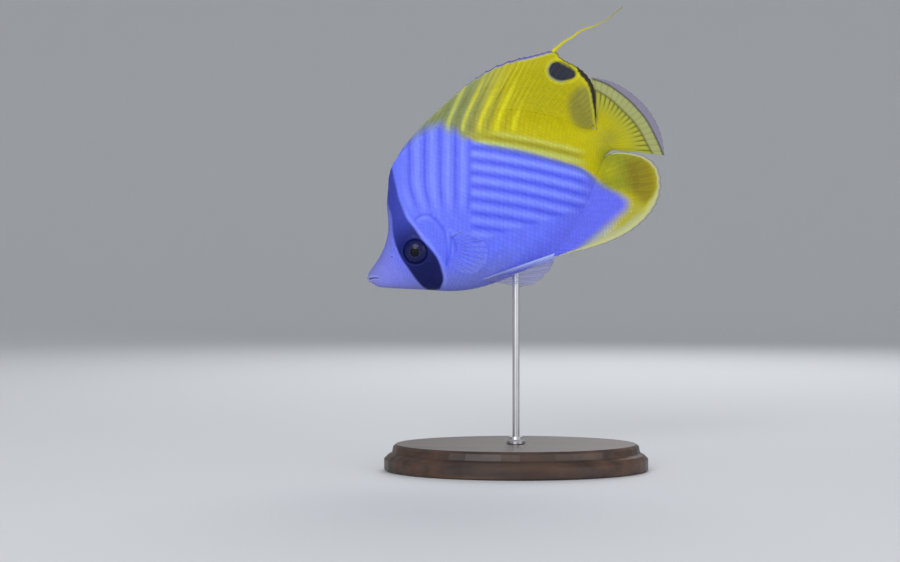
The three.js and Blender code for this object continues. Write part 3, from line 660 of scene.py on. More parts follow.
SKIN_MOTTLE = (900.0, 0.07)
SKIN_GRAIN = (2600.0, 0.00005, 0.5)
SKIN_LOOK = {"specular_ior_level": 0.1, "coat_weight": 0.04, "coat_roughness": 0.3}
FIN_MOTTLE = (1100.0, 0.06)
FIN_GRAIN = (3200.0, 0.00004, 0.4)
FIN_LOOK = {"clear": True, "specular_ior_level": 0.14, "coat_roughness": 0.3}

skin = make_skin()
skin.data.materials.append(tinted("fish_skin", SKIN_MOTTLE, SKIN_GRAIN, roughness=0.42, **SKIN_LOOK))
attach(skin, "root")
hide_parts("head", "torso", "tail_stalk", "gill_cover_left", "gill_cover_right")

# Fins

SPINES, BACK_RAYS, BELLY_RAYS, TAIL_RAYS, PECTORAL_RAYS, PELVIC_RAYS = 13, 23, 23, 17, 14, 6
PER_RAY = 14
MEMBRANE = 0.12
ROOT_SUNK = 1.6
TAIL_SUNK = 2.0
ROW_POWER = 0.9
SPINE_RIDGE, SOFT_RIDGE, ANAL_SPINE_RIDGE, PAIRED_RIDGE = 0.5, 0.14, 0.45, 0.16
SPINE_TIPS = [(48, 40.8), (60, 43.9), (75, 46.4), (90, 48), (103, 47.3), (113.8, 44.2)]
SOFT_EDGE = [
    (113, 44.4), (118.2, 42.2), (122.6, 40.6), (128.6, 38), (128.9, 34.2), (130.4, 30.9), (133.2, 25.6),
    (134.5, 20), (134.2, 15.4), (133.1, 12.2), (131.4, 9.2), (129.2, 5.6), (127, 1.8), (126, -1.8),
]
ANAL_EDGE = [
    (79, -41.3), (86, -43.6), (94, -46.3), (102.4, -48.4), (110.4, -49.4), (118.5, -48.9), (125.4, -47),
    (131.8, -43), (135.8, -37.8), (137.7, -32.6), (136.6, -26.4), (132.6, -21), (127, -16.4), (122.6, -14.6),
]
TAIL_EDGE = [
    (135.9, 18.9), (142.4, 12), (146.4, 4.3), (148.8, -4.5), (149.1, -13.9), (147, -22.6), (143.6, -29.4),
]
TAIL_SWEEP = 2.4
GRIDS = {}


def ray_ridge(k, t):
    """Ridge of the soft rays, which branch twice, at ray number k and share t of the ray: 0 between them."""
    x = k - np.round(k)
    first = 0.2 * ease(t, 0.3, 1)
    second = 0.09 * ease(t, 0.62, 1)
    wide = mix(0.13, 0.07, t)
    ridge = np.zeros(np.broadcast(k, t).shape)
    for a in (-1, 1):
        for b in (-1, 1):
            ridge = np.maximum(ridge, bump(x, a * first + b * second, wide))
    return ridge


def fin_mesh(name, centre, across, half, colours, clear, material):
    """A closed sheet round a grid of points, as thick as twice half along the unit vectors across."""
    columns, rows = centre.shape[:2]
    near = centre - across * half[..., None]
    far = centre + across * half[..., None]
    points = place(np.concatenate([near.reshape(-1, 3), far.reshape(-1, 3)]))
    back = columns * rows
    face = grid_faces(columns, rows)
    rim = np.concatenate([
        np.arange(rows), np.arange(1, columns) * rows + rows - 1,
        (columns - 1) * rows + np.arange(rows - 2, -1, -1), np.arange(columns - 2, 0, -1) * rows,
    ])
    after = np.roll(rim, -1)
    edge = np.stack([rim, rim + back, after + back, after], axis=1)
    obj = new_object(name, points, np.vstack([face, face[:, ::-1] + back, edge]))
    set_tint(obj, np.tile(colours.reshape(-1, 3), (2, 1)), np.tile(clear.ravel(), 2))
    obj.data.materials.append(material)
    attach(obj, "root")
    return obj


def upright_fin(line, strip, margin, roots, rays, rows, notch, peak):
    """Grid of a fin in the plane of symmetry: u and v of its points, half thickness, ray number, share of
    the ray, ridge of the rays and distance left to the margin."""
    columns = (rays - 1) * PER_RAY + 1
    share = np.linspace(0, 1, columns)[:, None]
    u = roots(share)
    tip = spline(margin, columns)[:, None, :]
    length = np.hypot(tip[..., 0] - u, tip[..., 1] - line(u))
    t = mix(-ROOT_SUNK / length, 1, np.linspace(0, 1, rows)[None, :] ** ROW_POWER)
    k = share * (rays - 1)
    reach = 1 - notch(k) * np.sin(math.pi * (k % 1)) ** 0.8
    at = t * np.where(t > 0, reach, 1)
    uu = u + (tip[..., 0] - u) * at
    vv = line(u) + (tip[..., 1] - line(u)) * at
    tt = np.clip(t, 0, 1)
    half = MEMBRANE + (strip(u) - MEMBRANE) * (1 - tt) ** 4
    ridge, height = peak(k, tt)
    half = half + ridge * height * (1 - tt**3) * ease(tt, 0, 0.2)
    half = half * np.where(t < 0, 0.96, 1) * mix(1, 0.45, ease(tt, 0.93, 1))
    return uu, vv, half, k * np.ones_like(tt), tt * np.ones_like(k), ridge, length * (1 - tt)


def flat(uu, vv, sway=0):
    return np.stack([uu, np.zeros_like(uu) + sway, vv], axis=2)


SIDEWAYS = np.array([0.0, 1.0, 0.0])


def spiny_dorsal(material):
    uu, vv, half, _, t, ridge, left = GRIDS["spiny"] = upright_fin(
        back_line, back_strip, SPINE_TIPS, lambda s: mix(41, 89, s), SPINES, 34,
        lambda k: mix(0.12, 0.02, k / (SPINES - 1)),
        lambda k, t: (bump(k - np.round(k), 0, mix(0.2, 0.1, t)), SPINE_RIDGE),
    )
    colours = layered(
        paint(uu, vv),
        (YELLOW_PALE, 0.16 * ridge * ease(t, 0.2, 0.7)),
        (rgb(170, 184, 142), 0.7 * ease(left, 1.9, 0.8)),
        (VIOLET, 0.9 * ease(left, 1.4, 1.0) * ease(uu, 84, 96)),
        (rgb(96, 96, 112), 0.6 * ease(left, 0.7, 0.3)),
    )
    clear = 1 - 0.4 * ease(left, 1.1, 0.4) * (1 - ridge)
    return fin_mesh("dorsal_spiny", flat(uu, vv), SIDEWAYS, half, colours, clear, material)


def soft_dorsal(material):
    uu, vv, half, _, t, ridge, left = GRIDS["soft"] = upright_fin(
        back_line, back_strip, SOFT_EDGE, lambda s: mix(88.2, 122.2, s**0.85), BACK_RAYS, 44,
        lambda k: 0.012, lambda k, t: (ray_ridge(k, t), SOFT_RIDGE),
    )
    top = ease(uu, 129.5, 127.5) * ease(vv, 36.5, 38)
    rear = ease(vv, 37.9, 36.9) * ease(uu, 122, 124)
    wide = mix(2.0, 0.5, ease(vv, 22, 27)) * mix(0.45, 1, ease(vv, 4, 11))
    colours = layered(
        paint(uu, vv),
        (YELLOW_BRIGHT, 0.1 * ridge * ease(t, 0.3, 0.7) * ease(outline_distance(SPOT, uu, vv), 0, -1.5)),
        (YELLOW_PALE, 0.8 * bump(left, 1.9, 0.5) * top),
        (VIOLET, 0.9 * ease(left, 1.45, 1.15) * top),
        (YELLOW_BRIGHT, 0.35 * bump(left, wide + 0.9, 0.6) * rear),
        (BLACK_EDGE, 0.96 * ease(left, wide + 0.2, wide - 0.2) * rear),
    )
    clear = 1 - 0.35 * ease(left, 1.3, 0.4) * top
    half = half + 0.38 * ease(vv, 17, 9) * ease(uu, 123, 127)
    return fin_mesh("dorsal_soft", flat(uu, vv), SIDEWAYS, half, colours, clear, material)


def anal_fin(material):
    def peak(k, t):
        spine = bump(k - np.round(k), 0, 0.16)
        return np.where(k < 2.5, spine, ray_ridge(k, t)), np.where(k < 2.5, ANAL_SPINE_RIDGE, SOFT_RIDGE)

    uu, vv, half, _, t, ridge, left = GRIDS["anal"] = upright_fin(
        belly_line, belly_strip, ANAL_EDGE, lambda s: mix(73.5, 119.8, s**0.9), BELLY_RAYS, 44,
        lambda k: np.where(k < 2.6, 0.05, 0.012), peak,
    )
    margin = mix(3.4, 1.9, ease(vv, -46, -38))
    low = ease(vv, -36, -42) * ease(uu, 84, 100) * ease(uu, 126, 118)
    colours = layered(
        paint(uu, vv),
        (YELLOW_BRIGHT, 0.08 * ridge * ease(t, 0.3, 0.7) * ease(vv, -44, -38)),
        (YELLOW_PALE, 0.75 * bump(left, margin + 0.6, 0.9) * ease(vv, -40, -44)),
        (rgb(160, 158, 66), 0.65 * low),
        (rgb(180, 184, 150), 0.75 * low * ease(left, 8, 3) * ease(uu, 124, 114)),
        (rgb(150, 152, 190), 0.8 * ease(uu, 100, 88) * ease(left, 4, 1)),
        (blend(rgb(188, 190, 130), rgb(146, 144, 160), ease(left, 1.2, 0.4)),
         0.92 * ease(left, margin + 0.3, margin - 0.5)),
    )
    clear = 1 - 0.4 * ease(left, 1.1, 0.2)
    return fin_mesh("anal_fin_rayed", flat(uu, vv), SIDEWAYS, half, colours, clear, material)


TAIL_INNER = spline([(134.2, 12.4), (136.9, 6.4), (138.7, -1.2), (140, -7.8), (140.2, -14), (139.6, -20.7),
                     (139.2, -25.6)], 40)
TAIL_OUTER = spline([(136.0, 17.6), (138.5, 14.3), (140.3, 11.2), (142.4, 5.9), (144.2, 0), (145.1, -5.5),
                     (145.6, -11), (145.3, -15.8), (144.7, -20.3), (144, -24.7), (143.1, -29)], 50)


def fan_tail(material):
    per_ray, rows = 16, 60
    columns = (TAIL_RAYS - 1) * per_ray + 1
    share = np.linspace(0, 1, columns)[:, None]
    high, low = back_line(BODY_LENGTH) + 1.3, belly_line(BODY_LENGTH) + 0.25
    tip = spline(TAIL_EDGE, columns)[:, None, :]
    root_v = mix(high, low, share)
    to_u = tip[..., 0] - BODY_LENGTH
    to_v = tip[..., 1] - root_v
    length = np.hypot(to_u, to_v)
    t = mix(-TAIL_SUNK / length, 1, np.linspace(0, 1, rows)[None, :])
    k = share * (TAIL_RAYS - 1) * np.ones_like(t)
    reach = np.where(t > 0, 1 - 0.008 * np.sin(math.pi * (k % 1)), 1)
    uu = BODY_LENGTH + to_u * t * reach
    vv = root_v + to_v * t * reach
    tt = np.clip(t, 0, 1)
    root_half = mix(0.6, 2.5, np.sin(math.pi * share) ** 0.6)
    half = MEMBRANE + (root_half - MEMBRANE) * (1 - tt) ** 3
    ridge = ray_ridge(k, tt)
    half = half + 0.2 * ridge * (1 - tt**3) * ease(tt, 0, 0.15)
    half = half * np.where(t < 0, 0.96, 1) * mix(1, 0.5, ease(tt, 0.95, 1))
    out = ease(tt, 0.2, 0.6)
    dark_rays = bump(np.abs(k - np.round(k)), 0.5, 0.12) * ease(tt, 0.38, 0.62)
    inner = near_line(TAIL_INNER, uu, vv)
    outer = near_line(TAIL_OUTER, uu, vv)
    beyond = np.sign(tail_side(TAIL_INNER, uu, vv))
    band = ease(beyond * inner, 0, 0.8)
    margin = ease(np.sign(tail_side(TAIL_OUTER, uu, vv)) * outer, 0.1, 0.6)
    colours = layered(
        paint(uu, vv),
        (rgb(154, 156, 46), 0.85 * out),
        (rgb(84, 84, 26), 0.9 * dark_rays * (beyond < 0)),
        (YELLOW_PALE, 0.3 * ridge * out),
        (rgb(164, 168, 110), 0.9 * band),
        (rgb(110, 112, 84), 0.3 * dark_rays * band),
        (rgb(84, 88, 60), 0.85 * bump(inner, 0, 0.5)),
        (rgb(110, 96, 146), 0.95 * margin),
        (rgb(52, 44, 58), 0.9 * bump(outer, 0, 0.45)),
    )
    clear = 1 - 0.6 * margin - 0.1 * band
    slant = 2 * TAIL_SWEEP * tt / length
    across = unit(np.stack([-slant * to_u / length, np.ones_like(tt), -slant * to_v / length], axis=2))
    centre = flat(uu, vv, TAIL_SWEEP * tt**2)
    return fin_mesh("tail_fin_rayed", centre, across, half, colours, clear, material)


def tail_side(line, u, v):
    """Positive on the tail side of a line that runs down the tail fin."""
    x, y = np.ravel(u), np.ravel(v)
    order = np.argsort(line[:, 1])
    return (x - np.interp(y, line[order, 1], line[order, 0])).reshape(np.shape(u))


# Paired fins
PECTORAL_SUNK = 2.5
PAIRED_NOTCH = 0.02
PELVIC_SPINE = 0.45
PECTORAL_TIPS = (
    (46.6, 24.5, -6.4), (50.4, 31, -10.4), (52.4, 32, -15.6), (51, 29.5, -21.4),
    (46.5, 25, -25.2), (40.8, 20, -25.4), (36.8, 15.5, -22),
)
PELVIC_ROOT = ((43, 4.8, -29.6), (44.2, 3.9, -31.2), (45.6, 3, -32.6))
PELVIC_TIPS = (
    (76.5, 9.6, -38.2), (74.5, 9.4, -40.8), (69, 8.8, -42.8), (62.5, 8, -43.6), (55.5, 6.8, -41),
)


def uniform_spline(points, share):
    """Point of a curve by share of its points, as the solids' own fins take it."""
    p = np.asarray(points, float)
    count = len(p) - 1
    dense = spline(p, 2000)
    along = np.array([np.argmin(np.linalg.norm(dense - q, axis=1)) for q in p], float)
    where = np.interp(share * count, np.arange(count + 1), along)
    low = np.floor(where).astype(int)
    high = np.minimum(low + 1, len(dense) - 1)
    return dense[low] + (dense[high] - dense[low]) * (where - low)[:, None]


def paired_fin(name, root, tips, rays, per_ray, rows, bow, peak_at, colour_at, material):
    columns = (rays - 1) * per_ray + 1
    share = np.linspace(0, 1, columns)
    start = uniform_spline(root, share)[:, None, :]
    end = uniform_spline(tips, share)[:, None, :]
    middle = end[columns // 2, 0] - start[columns // 2, 0]
    normal = unit(np.cross(middle, end[-1, 0] - end[0, 0]))
    t = np.linspace(0, 1, rows)[None, :, None]
    k = share[:, None] * (rays - 1) * np.ones((1, rows))
    reach = 1 - (PAIRED_NOTCH * np.sin(math.pi * (k % 1)))[..., None] * t
    centre = start + (end - start) * t * reach + normal * bow * np.sin(math.pi * t)
    tt = t[..., 0] * np.ones((columns, 1))
    ridge = peak_at(k, tt)
    half = 0.09 + 0.5 * (1 - tt) ** 4 + ridge * (1 - 0.8 * tt**2)
    half = half * mix(1, 0.5, ease(tt, 0.95, 1))
    colours, clear = colour_at(k, tt, ridge)
    fin = fin_mesh(name, centre, normal, half, colours, clear, material)
    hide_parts(name.replace("_", "_fin_"))


def pectoral(name, flip, material):
    def peak(k, t):
        return PAIRED_RIDGE * ray_ridge(k, t)

    def look(k, t, ridge):
        colours = layered(
            rgb(124, 138, 252),
            (rgb(160, 176, 255), ridge / PAIRED_RIDGE),
            (BLUE, ease(t, 0.28, 0.05)),
            # painted highlight: the leading ray is paler along the fin's upper edge
            (BLUE_PALE, bump(k, 0, 0.8)),
        )
        # the leading ray is also more opaque, so its painted highlight shows
        clear = 0.05 + 0.13 * ridge / PAIRED_RIDGE + 0.9 * ease(t, 0.2, 0.02) + 0.75 * bump(k, 0, 0.7)
        return colours, clear

    root = [(u, flip * (float(side_of_point(u, v)) - PECTORAL_SUNK), v) for u, v in PECTORAL_ROOT]
    tips = [(u, flip * out, v) for u, out, v in PECTORAL_TIPS]
    paired_fin(name, root, tips, PECTORAL_RAYS, 14, 40, flip * 1.4, peak, look, material)


def pelvic(name, flip, droop, material):
    def peak(k, t):
        return np.where(k < 0.5, PELVIC_SPINE * bump(k, 0, 0.2), PAIRED_RIDGE * ray_ridge(k, t))

    def look(k, t, ridge):
        # the pale spine is the fin's own white; the membrane's grey-lilac is painted shade under it
        colours = layered(
            rgb(128, 130, 190), (rgb(168, 190, 255), bump(k, 0, 0.7)), (rgb(170, 176, 230), ridge / 0.5),
        )
        clear = (0.11 + 0.9 * bump(k, 0, 0.6) + 0.18 * ridge / PAIRED_RIDGE * (k > 0.5)
                 + 0.6 * ease(t, 0.25, 0.02))
        return colours, clear

    root = [(u, flip * out, v) for u, out, v in PELVIC_ROOT]
    tips = [(u, flip * out, v - droop) for u, out, v in PELVIC_TIPS]
    paired_fin(name, root, tips, PELVIC_RAYS, 16, 50, flip * 0.7, peak, look, material)


THREAD = (
    (128.9, 38.3), (131.2, 38.6), (134.2, 38.9), (139, 38.7), (142.5, 38.9), (146, 38.3), (151.1, 37.1),
    (156.9, 36.6), (160.6, 37.1), (165.6, 37.4),
)
THREAD_ROOT = (127.2, 38.1)
THREAD_SWAY = 3
THREAD_RADII = (0.95, 0.55, 0.25)


def thread(material):
    rings, sides = 120, 12
    line = spline([THREAD_ROOT, *THREAD], rings)
    share = np.clip((line[:, 0] - THREAD[0][0]) / (THREAD[-1][0] - THREAD[0][0]), 0, 1)
    centre = np.stack([line[:, 0], THREAD_SWAY * share**2, line[:, 1]], axis=1)
    ahead = unit(np.gradient(centre, axis=0))
    beside = unit(np.cross(ahead, SIDEWAYS))
    other = np.cross(ahead, beside)
    wide, middle, fine = THREAD_RADII
    radius = (mix(middle, fine, share) + (wide - middle) * (1 - share) ** 12)[:, None, None]
    turn = np.linspace(0, 2 * math.pi, sides, endpoint=False)[None, :, None]
    flatness = mix(0.55, 0.9, share)[:, None, None]
    ring = (np.cos(turn) * beside[:, None, :] * radius
            + np.sin(turn) * other[:, None, :] * radius * flatness)
    points = (centre[:, None, :] + ring).reshape(-1, 3)
    quads, first, last = ring_faces(rings, sides)
    obj = new_object("thread", place(points), quads[:, [0, 3, 2, 1]], np.vstack([first, last])[:, [0, 2, 1]])
    colours = blend(np.broadcast_to(rgb(196, 190, 40), (rings, 3)), rgb(150, 146, 90), ease(share, 0.3, 1))
    set_tint(obj, np.repeat(colours, sides, axis=0))
    obj.data.materials.append(material)
    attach(obj, "root")
    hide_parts("dorsal_thread")


yellow_fins = tinted("yellow_fins", FIN_MOTTLE, FIN_GRAIN, roughness=0.5, coat_weight=0.03, **FIN_LOOK)
clear_fins = tinted("clear_fins", FIN_MOTTLE, FIN_GRAIN, roughness=0.4, coat_weight=0.06, **FIN_LOOK)
for piece, node in (
    (spiny_dorsal(yellow_fins), "dorsal_fin_spiny"),
    (soft_dorsal(yellow_fins), "dorsal_fin_soft"),
    (anal_fin(yellow_fins), "anal_fin"),
    (fan_tail(yellow_fins), "tail_fin"),
):
    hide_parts(node)
thread(yellow_fins)
for side_name, flip, droop in (("left", -1, 0), ("right", 1, 1.6)):
    pectoral("pectoral_" + side_name, flip, clear_fins)
    pelvic("pelvic_" + side_name, flip, droop, clear_fins)


# Eyes

def eye_frame(flip):
    """Centre of an eyeball and its axis, square to the skin, as the solids' own eyes are set."""
    step = 1.5
    u, v = EYE_AT
    wide_u = float(side_of_point(u + step, v) - side_of_point(u - step, v)) / (2 * step)
    wide_v = float(side_of_point(u, v + step) - side_of_point(u, v - step)) / (2 * step)
    axis = unit(np.array([-wide_u, flip, -wide_v]))
    centre = np.array([u, flip * float(side_of_point(u, v)), v]) + axis * (EYE_PROUD - EYE_DEPTH)
    return centre, axis


def eye(name, flip, material):
    rings, turns = 44, 96
    centre, axis = eye_frame(flip)
    first = unit(np.cross(axis, [0, 0, 1.0]))
    second = np.cross(axis, first)
    polar = np.linspace(0.02, 2.0, rings)[:, None, None]
    turn = np.linspace(0, 2 * math.pi, turns, endpoint=False)[None, :, None]
    out = EYE_RADIUS * np.sin(polar)
    dome = EYE_DEPTH * np.cos(polar) + 0.12 * ease(out, PUPIL_RADIUS + 0.5, PUPIL_RADIUS - 0.3)
    points = centre + axis * dome + out * (first * np.cos(turn) + second * np.sin(turn))
    quads, front, back = ring_faces(rings, turns)
    obj = new_object(name, place(points.reshape(-1, 3)), quads, np.vstack([front, back]))
    ring = np.broadcast_to(out[..., 0], (rings, turns))
    around = np.broadcast_to(turn[..., 0], (rings, turns))
    streaks = 0.5 + 0.5 * np.sin(around * 23 + 1.3 * np.sin(around * 5)) * np.sin(around * 9 + 0.7)
    colour = layered(
        rgb(15, 19, 62),
        (rgb(40, 46, 106), 0.4 * streaks * bump(ring, 3.5, 1.0)),
        (rgb(22, 28, 88), ease(ring, 4.3, 5.1)),
        (rgb(58, 66, 122), 0.6 * bump(ring, PUPIL_RADIUS + 0.12, 0.16)),
        (rgb(3, 4, 16), ease(ring, PUPIL_RADIUS + 0.05, PUPIL_RADIUS - 0.1)),
    )
    set_tint(obj, colour.reshape(-1, 3))
    obj.data.materials.append(material)
    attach(obj, "root")
    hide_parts(name.replace("ball", ""))


eye_gloss = tinted("eye_gloss", (2400.0, 0.12), roughness=0.4, specular_ior_level=0.08,
                   coat_weight=0.22, coat_roughness=0.03)
eye("eyeball_left", -1, eye_gloss)
eye("eyeball_right", 1, eye_gloss)

# Scales

ACROSS, ALONG = 7, 6
SCALE_RAISE = 0.2
SCALE_SUNK = 0.1
SCALE_EDGE = 0.08
# a row's height, and a scale's own length and width, as shares of the length at its place
ROW_SHARE, LONG_SHARE, WIDE_SHARE = 0.74, 1.55, 2.05
FIN_ROW_MM, FIN_SCALE_MM = 1.45, 2.2
# the left side takes the left half of the OFBake map
BAKE_WIDTH = 0.47
BAKE_SCALE = 0.0028


def bake_place(flip, along, whole, up):
    return np.stack([(0.01 if flip < 0 else 0.51) + BAKE_WIDTH * along / whole, up], axis=1)


def scale_shape():
    """One scale's outline on a unit: places along and across, and the order of its edge."""
    a = np.linspace(-1, 1, ACROSS)[:, None]
    b = np.linspace(0, 1, ALONG)[None, :]
    y = 0.5 * np.sin(a * math.pi / 2) * np.ones_like(b)
    rear = 0.5 - 0.4 * (1 - np.sqrt(1 - 0.96 * np.sin(a * math.pi / 2) ** 2))
    front = -0.5 + 0.12 * a**2
    x = front + (rear - front) * b
    lift = mix(-SCALE_SUNK, SCALE_RAISE, b**0.8) - 0.05 * a**2
    rim = ([(0, i) for i in range(ALONG)] + [(j, ALONG - 1) for j in range(1, ACROSS)]
           + [(ACROSS - 1, i) for i in range(ALONG - 2, -1, -1)])
    return x.ravel(), y.ravel(), lift.ravel(), np.array([j * ALONG + i for j, i in rim])


def make_scales(name, sample, p, q, unit_q, length, width, lean, bake_at, material, flip, thin=1.0):
    """Scales as thin overlapping plates. Their roots lie at (p, q) of a surface, p in millimetres along it,
    and unit_q is the millimetres that q's unit spans there. sample gives a point, its normal and colour."""
    x, y, lift, rim = scale_shape()
    dx = x[None, :] * length[:, None]
    dy = y[None, :] * width[:, None]
    turn_x = dx * np.cos(lean)[:, None] - dy * np.sin(lean)[:, None]
    turn_y = dx * np.sin(lean)[:, None] + dy * np.cos(lean)[:, None]
    at, normal, colour = sample(p[:, None] + turn_x, q[:, None] + turn_y / unit_q[:, None])
    size = np.minimum(1, length / 3)[:, None] * thin
    top = at + normal * (lift[None, :] * size + 0.015)[..., None]
    low = at[:, rim] - normal[:, rim] * SCALE_EDGE
    jitter = RNG.uniform(0.95, 1.05, (len(p), 1, 1))
    # painted light and shade: each scale is lighter in its middle and darker towards its rim
    painted_shading = (1.05 - 0.14 * ease(np.hypot(x - 0.06, y * 1.1), 0.26, 0.5))[None, :, None]
    points = np.concatenate([top, top[:, rim], low], axis=1)
    # painted shade: the scale's rim and the edge wall below it are darker still
    tint = [colour * jitter * painted_shading, (colour * 0.8 * jitter)[:, rim], (colour * 0.7)[:, rim]]
    per = points.shape[1]
    face = grid_faces(ACROSS, ALONG)
    edge = np.arange(len(rim) - 1) + ACROSS * ALONG
    wall = np.stack([edge, edge + len(rim), edge + len(rim) + 1, edge + 1], axis=1)
    quads = np.vstack([face, wall])
    if flip > 0:
        points = points * MIRROR
        quads = quads[:, ::-1]
    every = (quads[None] + (np.arange(len(p)) * per)[:, None, None]).reshape(-1, 4)
    obj = new_object(name, place(points.reshape(-1, 3)), every)
    set_tint(obj, np.concatenate(tint, axis=1).reshape(-1, 3))
    patch = np.stack([x, y], axis=1)
    patch = np.concatenate([patch, patch[rim] * 1.04, patch[rim] * 1.1])
    uv = (bake_at(p, q)[:, None, :] + BAKE_SCALE * patch[None]).reshape(-1, 2)
    layer = obj.data.uv_layers.new(name="OFBake")
    corner = np.empty(len(obj.data.loops), np.int32)
    obj.data.loops.foreach_get("vertex_index", corner)
    layer.data.foreach_set("uv", uv[corner].astype(np.float32).ravel())
    obj.data.materials.append(material)
    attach(obj, "root")
    return obj


def look_up(grid, i, j):
    """Values between the points of a grid."""
    i = np.clip(i, 0, grid.shape[0] - 1.001)
    j = np.clip(j, 0, grid.shape[1] - 1.001)
    i0, j0 = i.astype(int), j.astype(int)
    fi, fj = (i - i0)[..., None], (j - j0)[..., None]
    return ((grid[i0, j0] * (1 - fi) + grid[i0 + 1, j0] * fi) * (1 - fj)
            + (grid[i0, j0 + 1] * (1 - fi) + grid[i0 + 1, j0 + 1] * fi) * fj)


# The side as rows spaced evenly round each station
ROWS = 260
steps = np.linalg.norm(np.diff(plain, axis=1), axis=2)
arcs = np.concatenate([np.zeros((len(plain), 1)), np.cumsum(steps, axis=1)], axis=1)
girth = arcs[:, -1]
even = np.empty((len(plain), ROWS, 3))
for i in range(len(plain)):
    wanted = np.linspace(0, girth[i], ROWS)
    for axis in range(3):
        even[i, :, axis] = np.interp(wanted, arcs[i], raised[i, :, axis])
even_normals = grid_normals(even)
even_normals = np.where(even_normals[..., 1:2] > 0, -even_normals, even_normals)
stations = plain[:, 0, 0]


def on_side(u, s):
    """Point, normal and colour of the left side at station u, s millimetres round from its middle."""
    i = np.interp(u, stations, np.arange(len(stations)))
    j = (s / np.interp(u, stations, girth) + 0.5) * (ROWS - 1)
    at = look_up(even, i, j)
    normal = look_up(even_normals, i, j)
    return at, unit(normal), paint(at[..., 0], at[..., 2], -at[..., 1])


scale_length = smooth_line([(0, 0.8), (8, 0.85), (18, 1.0), (26, 1.25), (34, 1.7), (46, 2.25), (58, 2.4),
                            (92, 2.3), (106, 1.9), (116, 1.4), (126, 1.0)])


def body_scales(flip, material):
    side_name = "left" if flip < 0 else "right"
    fine_u = np.linspace(7, BODY_LENGTH + 0.6, 2400)
    count = np.concatenate([[0], np.cumsum(np.diff(fine_u) / scale_length(fine_u[1:]))])
    rows = np.arange(-40, 41)
    columns = np.arange(0, int(count[-1]) + 1)
    r, c = np.meshgrid(rows, columns, indexing="ij")
    c = c + 0.5 * (r % 2)
    u = np.interp(c, count, fine_u).ravel()
    r = r.ravel()
    tall = ROW_SHARE * scale_length(u)
    s = r * tall
    lean = np.arctan(r * ROW_SHARE * (scale_length(u + 0.5) - scale_length(u - 0.5)))
    keep = (np.abs(s) < np.interp(u, stations, girth) / 2 + 0.05 * tall) & (c.ravel() < count[-1])
    u, s, tall, lean = u[keep], s[keep], tall[keep], lean[keep]
    u = u + RNG.normal(0, 0.05, len(u)) * tall
    s = s + RNG.normal(0, 0.04, len(s)) * tall
    v = on_side(u, s)[0][:, 2]
    length = LONG_SHARE * scale_length(u) * RNG.uniform(0.95, 1.05, len(u))
    width = WIDE_SHARE * tall * RNG.uniform(0.96, 1.04, len(u))
    bare = np.hypot(u - EYE_AT[0], v - EYE_AT[1]) < EYE_RADIUS + 0.7 + 0.5 * length
    edge = near_line(GILL_EDGE, u, v)
    bare |= (edge < 0.42 * length) & (u > 31)
    for spot in NOSTRILS:
        bare |= np.hypot(u - spot[0], v - spot[1]) < 1.6
    bare |= near_line(PECTORAL_ROOT, u, v) < 1.8
    bare |= (u < 11) & (np.hypot(u - MOUTH_CORNER[0], v - MOUTH_CORNER[1]) < 6.5)
    near_rod = (np.abs(u - ROD_AT_U) < 3.2) & (v < belly_line(u) + 2.4)
    keep = ~(bare | near_rod)
    u, s, length, width, lean = u[keep], s[keep], length[keep], width[keep], lean[keep]

    def bake_at(p, q):
        return bake_place(flip, p, BODY_LENGTH + 3, 0.32 + 0.0065 * q)

    for part, low, high in (("head", 0, 40), ("shoulder", 40, 66), ("flank", 66, 200)):
        pick = (u >= low) & (u < high)
        name = "scales_" + part + "_" + side_name
        obj = make_scales(name, on_side, u[pick], s[pick], np.ones(pick.sum()), length[pick], width[pick],
                          lean[pick], bake_at, material, flip)


def fin_scales(name, key, flip, reach, bake_row, material):
    uu, vv, half, k, _, _, left = GRIDS[key]
    surface = np.stack([uu, -half, vv], axis=2)
    columns, rows = uu.shape
    whole = left[:, 0]
    sunk = ROOT_SUNK / whole
    rays = k[-1, 0]
    margin_gap = np.hypot(np.diff(uu, axis=0), np.diff(vv, axis=0)) * (columns - 1) / rays

    def sample(p, q):
        j = np.clip(q / rays, 0, 1) * (columns - 1)
        reach_mm = np.interp(j, np.arange(columns), whole)
        share = p / reach_mm
        low = np.interp(j, np.arange(columns), sunk)
        i = np.clip((share + low) / (1 + low), 0, 1) ** (1 / ROW_POWER) * (rows - 1)
        at = look_up(surface, j, i)
        normal = np.zeros_like(at)
        normal[..., 1] = -1
        return at, normal, paint(at[..., 0], at[..., 2], np.zeros(at.shape[:-1]))

    found = []
    for row in range(int(2 * rays) + 1):
        q = row / 2
        j = q / rays * (columns - 1)
        reach_mm = float(np.interp(j, np.arange(columns), whole))
        far = reach * reach_mm
        p = np.arange(-1.2 + 0.5 * FIN_ROW_MM * (row % 2), far, FIN_ROW_MM)
        if len(p) == 0:
            continue
        i = np.clip(p / reach_mm * (rows - 1), 0, rows - 1)
        gap = look_up(margin_gap[..., None], np.full(len(p), j), i)[:, 0]
        size = mix(1.0, 0.55, ease(p / max(far, 1e-6), 0.6, 1))
        found.append(np.stack([p, np.full(len(p), q), gap, size]))
    p, q, gap, size = np.concatenate(found, axis=1)
    p = p + RNG.normal(0, 0.07, len(p))

    def bake_at(p, q):
        return bake_place(flip, q, rays + 1, bake_row + 0.0035 * p)

    obj = make_scales(name, sample, p, q, gap, FIN_SCALE_MM * size, gap * size, np.zeros(len(p)), bake_at,
                      material, flip, thin=0.62)


